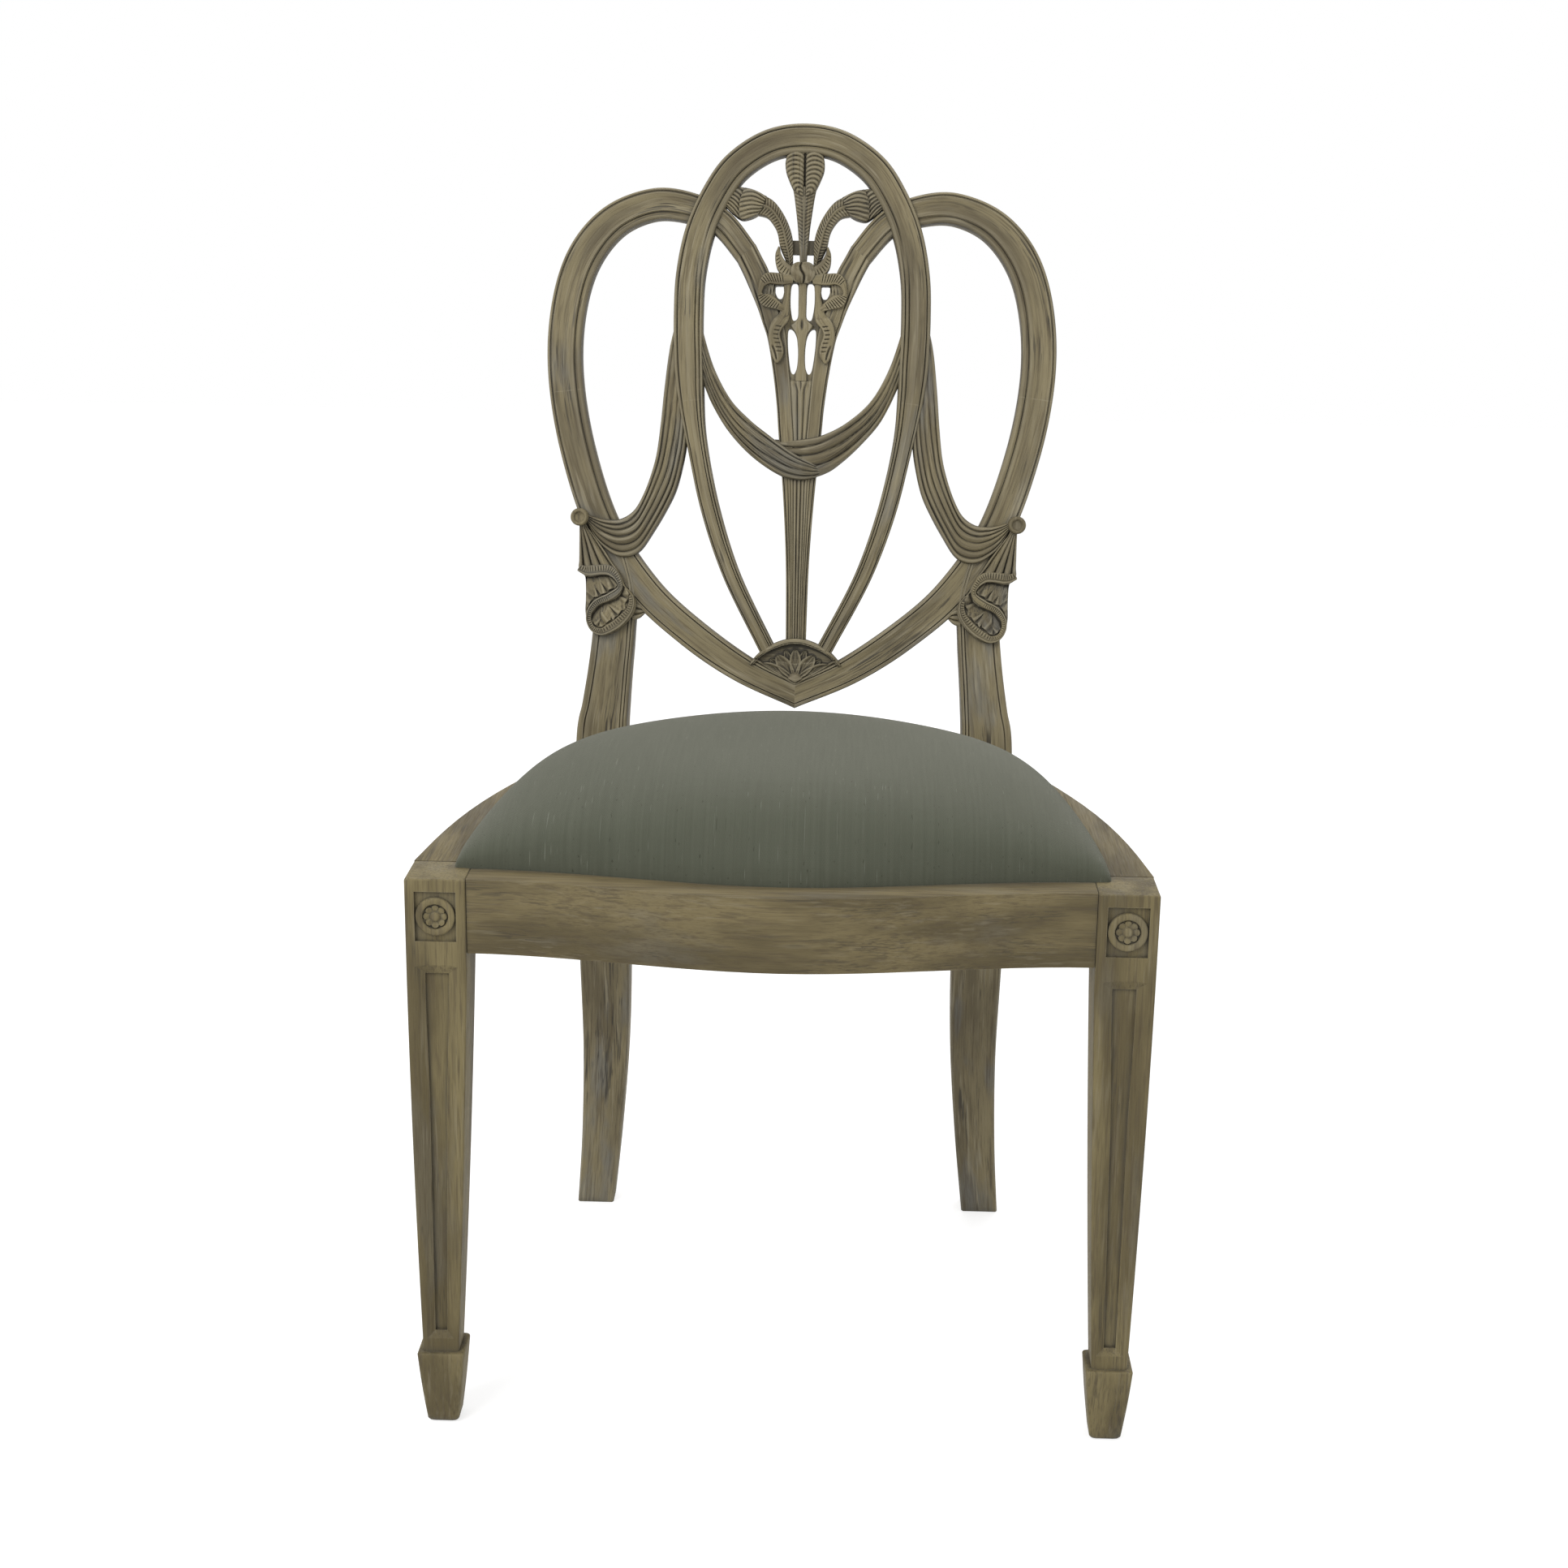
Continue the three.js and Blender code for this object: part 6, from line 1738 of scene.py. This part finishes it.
cushion = cover_blank()
swelled(cushion)
pad = pad_under(cushion)
trimmed(cushion)
finer = cushion.modifiers.new("finer", "SUBSURF")
finer.levels = 1
finer.render_levels = 1
apply_all(cushion)
drawn_tight(cushion)
skin = cushion.modifiers.new("skin", "SOLIDIFY")
skin.thickness = COVER_THICK
skin.offset = -1
apply_all(cushion)
cushion.vertex_groups.clear()
take(cushion)
bpy.ops.object.shade_smooth()


def linen(name):
    """Plain linen: threads both ways, thick slubs that run from front to back, dark neps and pale flecks."""
    finish, shader = new_finish(name)
    tree = shader.id_data
    place = node(tree, "ShaderNodeTexCoord")
    parts = node(tree, "ShaderNodeSeparateXYZ")
    plug(place.outputs["Object"], parts.inputs[0])
    down = combined("SUBTRACT", parts.outputs["Y"], parts.outputs["Z"])
    flat = node(tree, "ShaderNodeCombineXYZ")
    plug(parts.outputs["X"], flat.inputs["X"])
    plug(down, flat.inputs["Y"])

    def noise(scale_x, scale_y, detail):
        return noise_at(flat.outputs[0], (scale_x, scale_y, 1), detail, 0.5)

    def spread(value, low, high, bottom=0.0, top=1.0):
        return ramp(value, low, high, bottom, top, "LINEAR")

    def threads(socket, pitch):
        turn = combined("MULTIPLY", socket, 2 * math.pi / pitch)
        wave = node(tree, "ShaderNodeMath", operation="SINE")
        plug(turn, wave.inputs[0])
        return wave.outputs[0]

    warp = threads(parts.outputs["X"], 0.0011)
    weft = threads(down, 0.0012)
    weave = combined("MULTIPLY", warp, weft)
    slub = noise(420, 16, 3)
    cross = noise(18, 460, 2)
    cloudy = noise(14, 9, 3)
    colour = mixed(spread(slub, 0.30, 0.72), (0.090, 0.097, 0.070), (0.112, 0.120, 0.088))
    colour = mixed(spread(cross, 0.45, 0.80, 0.0, 0.5), colour, (0.098, 0.103, 0.075))
    colour = mixed(spread(cloudy, 0.35, 0.75, 0.0, 0.35), colour, (0.100, 0.107, 0.078))
    colour = mixed(spread(noise(900, 60, 1), 0.70, 0.78, 0.0, 0.6), colour, (0.235, 0.245, 0.200))
    colour = mixed(spread(noise(520, 330, 1), 0.70, 0.76, 0.0, 0.75), colour, (0.045, 0.045, 0.032))
    colour = mixed(spread(weave, -1.0, 1.0, 0.25, 0.0), colour, (0.060, 0.064, 0.046))
    plug(colour, shader.inputs["Base Color"])
    shader.inputs["Roughness"].default_value = 0.92
    shader.inputs["Specular IOR Level"].default_value = 0.15
    shader.inputs["Sheen Weight"].default_value = 0.25
    shader.inputs["Sheen Tint"].default_value = (1.0, 0.98, 0.86, 1)
    shader.inputs["Sheen Roughness"].default_value = 0.5
    height = combined("ADD", combined("MULTIPLY", weave, 0.5), combined("MULTIPLY", slub, 1.3))
    roughened(shader, height, 0.5, 0.0003)
    return finish


def plain(name, light, dark, scale, roughness, metal=0.0):
    """A plain stuff with a fine mottle of two tones and a little grain in its surface."""
    finish, shader = new_finish(name)
    place = node(shader.id_data, "ShaderNodeTexCoord")
    speckle = noise_at(place.outputs["Object"], scale, 4.0, 0.6)
    tones = ramp(speckle, 0.35, 0.65, kind="LINEAR")
    plug(mixed(tones, dark, light), shader.inputs["Base Color"])
    shader.inputs["Roughness"].default_value = roughness
    shader.inputs["Metallic"].default_value = metal
    roughened(shader, speckle, 0.3, 0.0004)
    return finish


finished(cushion, linen("green_grey_linen"), body="drop_in_seat", replaced=["seat_cover"])
foam = plain("cream_foam", (0.72, 0.66, 0.50), (0.60, 0.54, 0.40), (900, 900, 900), 0.95)
finished(pad, foam, body="drop_in_seat", replaced=["foam_pad"])

# What lies out of sight: beech seat frame, corner blocks and dowels, steel screws, woven webbing and the
# black dust cover tacked under the seat. These keep their CAD shapes and get their own stuff.

beech = plain("bare_beech", (0.52, 0.36, 0.20), (0.40, 0.26, 0.135), (60, 900, 900), 0.60)
steel = plain("zinc_steel", (0.46, 0.46, 0.45), (0.34, 0.34, 0.33), (2600, 2600, 900), 0.38, 1.0)
webbing = plain("jute_webbing", (0.34, 0.26, 0.15), (0.20, 0.145, 0.08), (700, 700, 700), 0.90)
dust = plain("black_dust_cloth", (0.030, 0.030, 0.031), (0.012, 0.012, 0.013), (1300, 1300, 1300), 0.95)
kinds = {"seat_frame": beech, "corner_block": beech, "lobe_dowel": beech, "bar_dowel": beech, "screw": steel,
         "webbing": webbing, "dust_cover": dust}
for name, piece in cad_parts.items():
    for kind, stuff in kinds.items():
        if name.startswith(kind):
            for place in piece.material_slots:
                place.material = stuff
